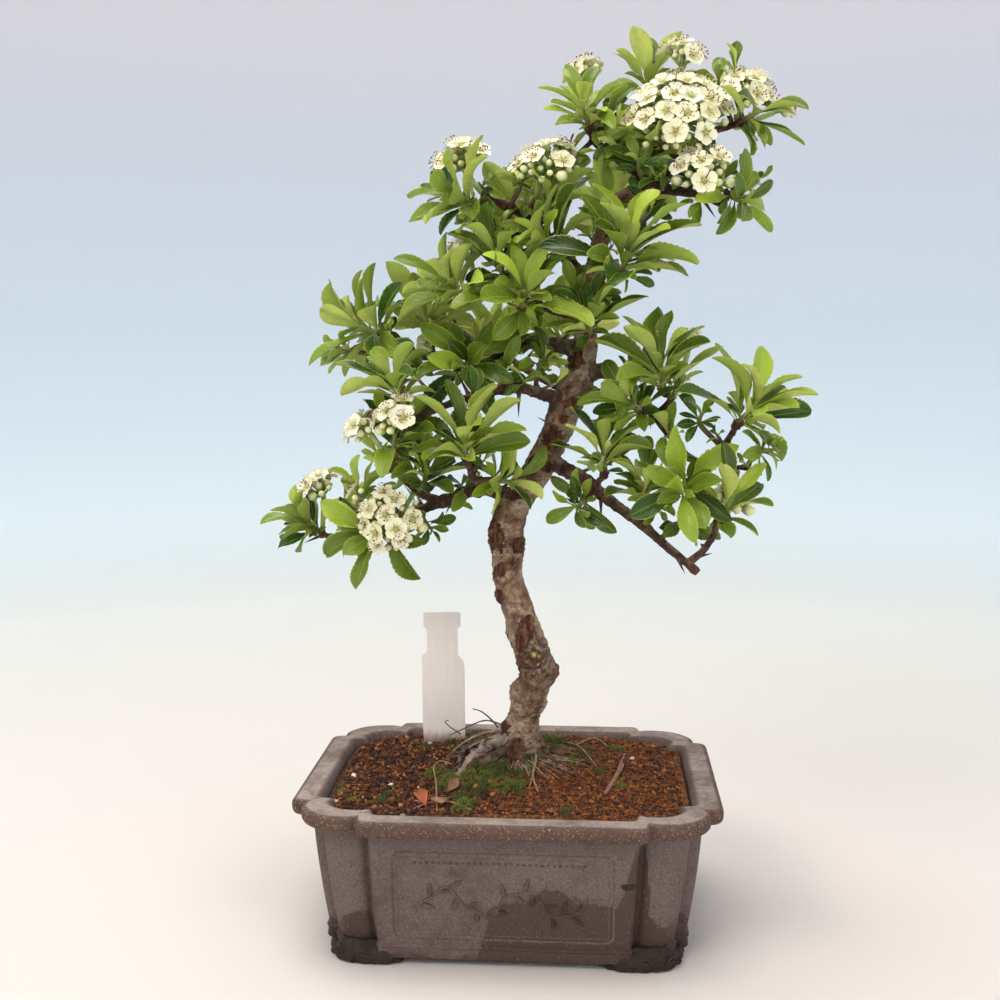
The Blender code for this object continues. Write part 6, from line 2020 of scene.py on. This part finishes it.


# Stage, light and camera
# Colour of the floor and wall against the distance out and up, in metres, and how far the colours reach; the colours
# paint the fall of light, with painted shade, darker and cooler, higher on the wall
BACKDROP_REACH = 2.85
BACKDROP = [(0.18, (0.744, 0.695, 0.650)), (0.25, (0.732, 0.697, 0.660)), (0.40, (0.745, 0.723, 0.680)),
            (0.70, (0.785, 0.812, 0.766)), (1.05, (0.701, 0.807, 0.850)), (1.28, (0.599, 0.708, 0.788)),
            (1.47, (0.552, 0.640, 0.720)), (1.63, (0.552, 0.611, 0.704)), (1.76, (0.552, 0.587, 0.656)),
            (1.88, (0.597, 0.590, 0.641))]


def stage():
    """A pale floor that curves up into a plain pale wall all round, its colour painted with the fall of light."""
    profile = [(0.001, 0.0), (0.3, 0.0), (0.62, 0.0), (0.80, 0.0)]
    for k in range(1, 9):
        a = math.radians(90 * k / 8)
        profile.append((0.80 + 0.45 * math.sin(a), 0.45 * (1 - math.cos(a))))
    profile += [(1.25, 0.9), (1.25, 1.6)]
    sides = 96
    corners = [Vector((r * math.cos(math.tau * k / sides), r * math.sin(math.tau * k / sides), z))
               for r, z in profile for k in range(sides)]
    faces = ring_faces(len(profile), sides) + [tuple(reversed(range(sides)))]
    mesh = bpy.data.meshes.new("floor")
    mesh.from_pydata(corners, [], faces)
    mesh.shade_smooth()
    s = Surface("floor_pale", 0.7)
    apart = s.tree.nodes.new("ShaderNodeSeparateXYZ")
    s.link(s.place, apart.inputs[0])
    reach = s.math("SQRT", s.plus(s.math("POWER", apart.outputs[0], 2.0), s.math("POWER", apart.outputs[1], 2.0)))
    far = s.math("DIVIDE", s.plus(reach, apart.outputs[2]), BACKDROP_REACH)
    body = s.ramp(far, *[(at / BACKDROP_REACH, colour) for at, colour in BACKDROP])
    mesh.materials.append(s.finish(body))
    made = bpy.data.objects.new("floor", mesh)
    bpy.context.scene.collection.objects.link(made)


def lamp(name, place, size, power, colour, aim=(0.0, 0.0, 0.18)):
    """A soft square lamp pointed at the plant."""
    light = bpy.data.lights.new(name, "AREA")
    light.size = size
    light.energy = power
    light.color = colour
    made = bpy.data.objects.new(name, light)
    made.location = place
    made.rotation_euler = (Vector(aim) - Vector(place)).to_track_quat("-Z", "Y").to_euler()
    bpy.context.scene.collection.objects.link(made)


def light_and_camera():
    """Soft light from above and in front, and the photograph's camera."""
    bpy.context.scene.view_settings.view_transform = "Standard"
    world = bpy.data.worlds.new("soft_sky")
    bpy.context.scene.world = world
    world.use_nodes = True
    back = world.node_tree.nodes["Background"]
    back.inputs[0].default_value = (1.0, 0.97, 0.93, 1.0)
    back.inputs[1].default_value = 0.30
    lamp("key", (-0.80, -1.00, 0.80), 1.0, 27.0, (1.0, 0.94, 0.87))
    lamp("fill", (0.8, -0.9, 0.4), 0.8, 6.0, (1.0, 0.98, 0.96))
    lamp("top", (-0.1, 0.0, 1.3), 0.7, 10.0, (1.0, 0.97, 0.93))
    lamp("wash", (0.0, 0.3, 1.7), 1.2, 3.6, (1.0, 0.98, 0.96), (0.0, 1.25, 0.3))
    view = bpy.data.cameras.new("camera")
    view.lens = 36 * FOCAL / 1000
    view.sensor_width = 36
    camera = bpy.data.objects.new("camera", view)
    camera.location = EYE * MM
    ahead = Vector((-math.sin(YAW) * math.cos(PITCH), math.cos(YAW) * math.cos(PITCH), -math.sin(PITCH)))
    camera.rotation_euler = ahead.to_track_quat("-Z", "Y").to_euler()
    bpy.context.scene.collection.objects.link(camera)
    bpy.context.scene.camera = camera


def dress():
    """Make every fine piece."""
    wood_solids = wood_plan()
    shoots, heads, crowd = plan_crown(wood_solids)
    for head in heads.values():
        column, row, far = seen(head["hub"] + head["axis"] * (head["size"] * 0.5))
        KEPT_VIEWS.append((column, row, far, 1.05 * head["size"] * FOCAL / far))
    for column, row, depth, radius in SHOWN_WOOD:
        KEPT_VIEWS.append((column, row, seen(spot(column, row, depth))[2], radius))
    leaf_set = [leaf_surface(False), leaf_surface(True), stem_surface()]
    for index, (key, shoot) in enumerate(shoots.items()):
        make_shoot(key, index, shoot, crowd, leaf_set)
    make_tufts(tree_of(join(wood_solids)), crowd, leaf_set)
    flower_set = [petal_surface(), plain_surface("flower_eye", (0.42, 0.44, 0.08), (0.72, 0.68, 0.22), 900, 0.5),
                  plain_surface("filament", (0.70, 0.64, 0.36), (0.84, 0.80, 0.58), 900, 0.5),
                  plain_surface("anther", (0.070, 0.014, 0.008), (0.27, 0.060, 0.030), 1500, 0.75),
                  plain_surface("flower_stalk", (0.16, 0.26, 0.05), (0.42, 0.50, 0.17), 600, 0.5)]
    for index, (key, head) in enumerate(heads.items()):
        make_head(key, index, head, flower_set)
    soil, soil_tree = fine_soil()
    soil.piece("soil_top", [soil_surface()], "soil", ["soil"])
    grains = crumb_surface("soil_grains", [(0.0, (0.016, 0.006, 0.004)), (0.35, (0.10, 0.030, 0.010)),
                                           (0.7, (0.36, 0.105, 0.018)), (0.92, (0.60, 0.24, 0.060)),
                                           (1.0, (0.66, 0.55, 0.42))])
    crumbs(soil_tree).piece("soil_grains", [grains], "soil")
    clods(soil_tree).piece("soil_clods", [grains], "soil")
    moss_cushions(soil_tree).piece("moss", [moss_surface()], "soil")
    dead = [plain_surface("dry_root", (0.050, 0.026, 0.017), (0.50, 0.375, 0.310), 330, 0.85, 0.0012),
            plain_surface("dry_stalk", (0.15, 0.09, 0.04), (0.42, 0.31, 0.16), 300, 0.8, 0.0004),
            plain_surface("dry_twig", (0.20, 0.085, 0.05), (0.48, 0.27, 0.19), 300, 0.75, 0.0003),
            plain_surface("orange_leaf", (0.36, 0.085, 0.03), (0.62, 0.19, 0.08), 260, 0.55),
            plain_surface("brown_leaf", (0.17, 0.075, 0.040), (0.46, 0.26, 0.17), 240, 0.7),
            plain_surface("red_leaf", (0.085, 0.020, 0.018), (0.26, 0.085, 0.06), 300, 0.6),
            plain_surface("white_chip", (0.55, 0.50, 0.40), (0.85, 0.82, 0.75), 300, 0.7)]
    litter(soil_tree).piece("litter", dead, "bark")
    wood_set = [bark_surface(), plain_surface("green_bud", (0.075, 0.085, 0.018), (0.40, 0.47, 0.085), 900, 0.5)]
    fine_wood(soil_tree).piece("wood", wood_set, "bark", ["trunk_and_branches"])
    fine_pot().piece("pot_fine", [stone_surface()], "stoneware", ["pot"], sharp=42)
    fine_label(label_surface())
    stage()
    light_and_camera()


dress()
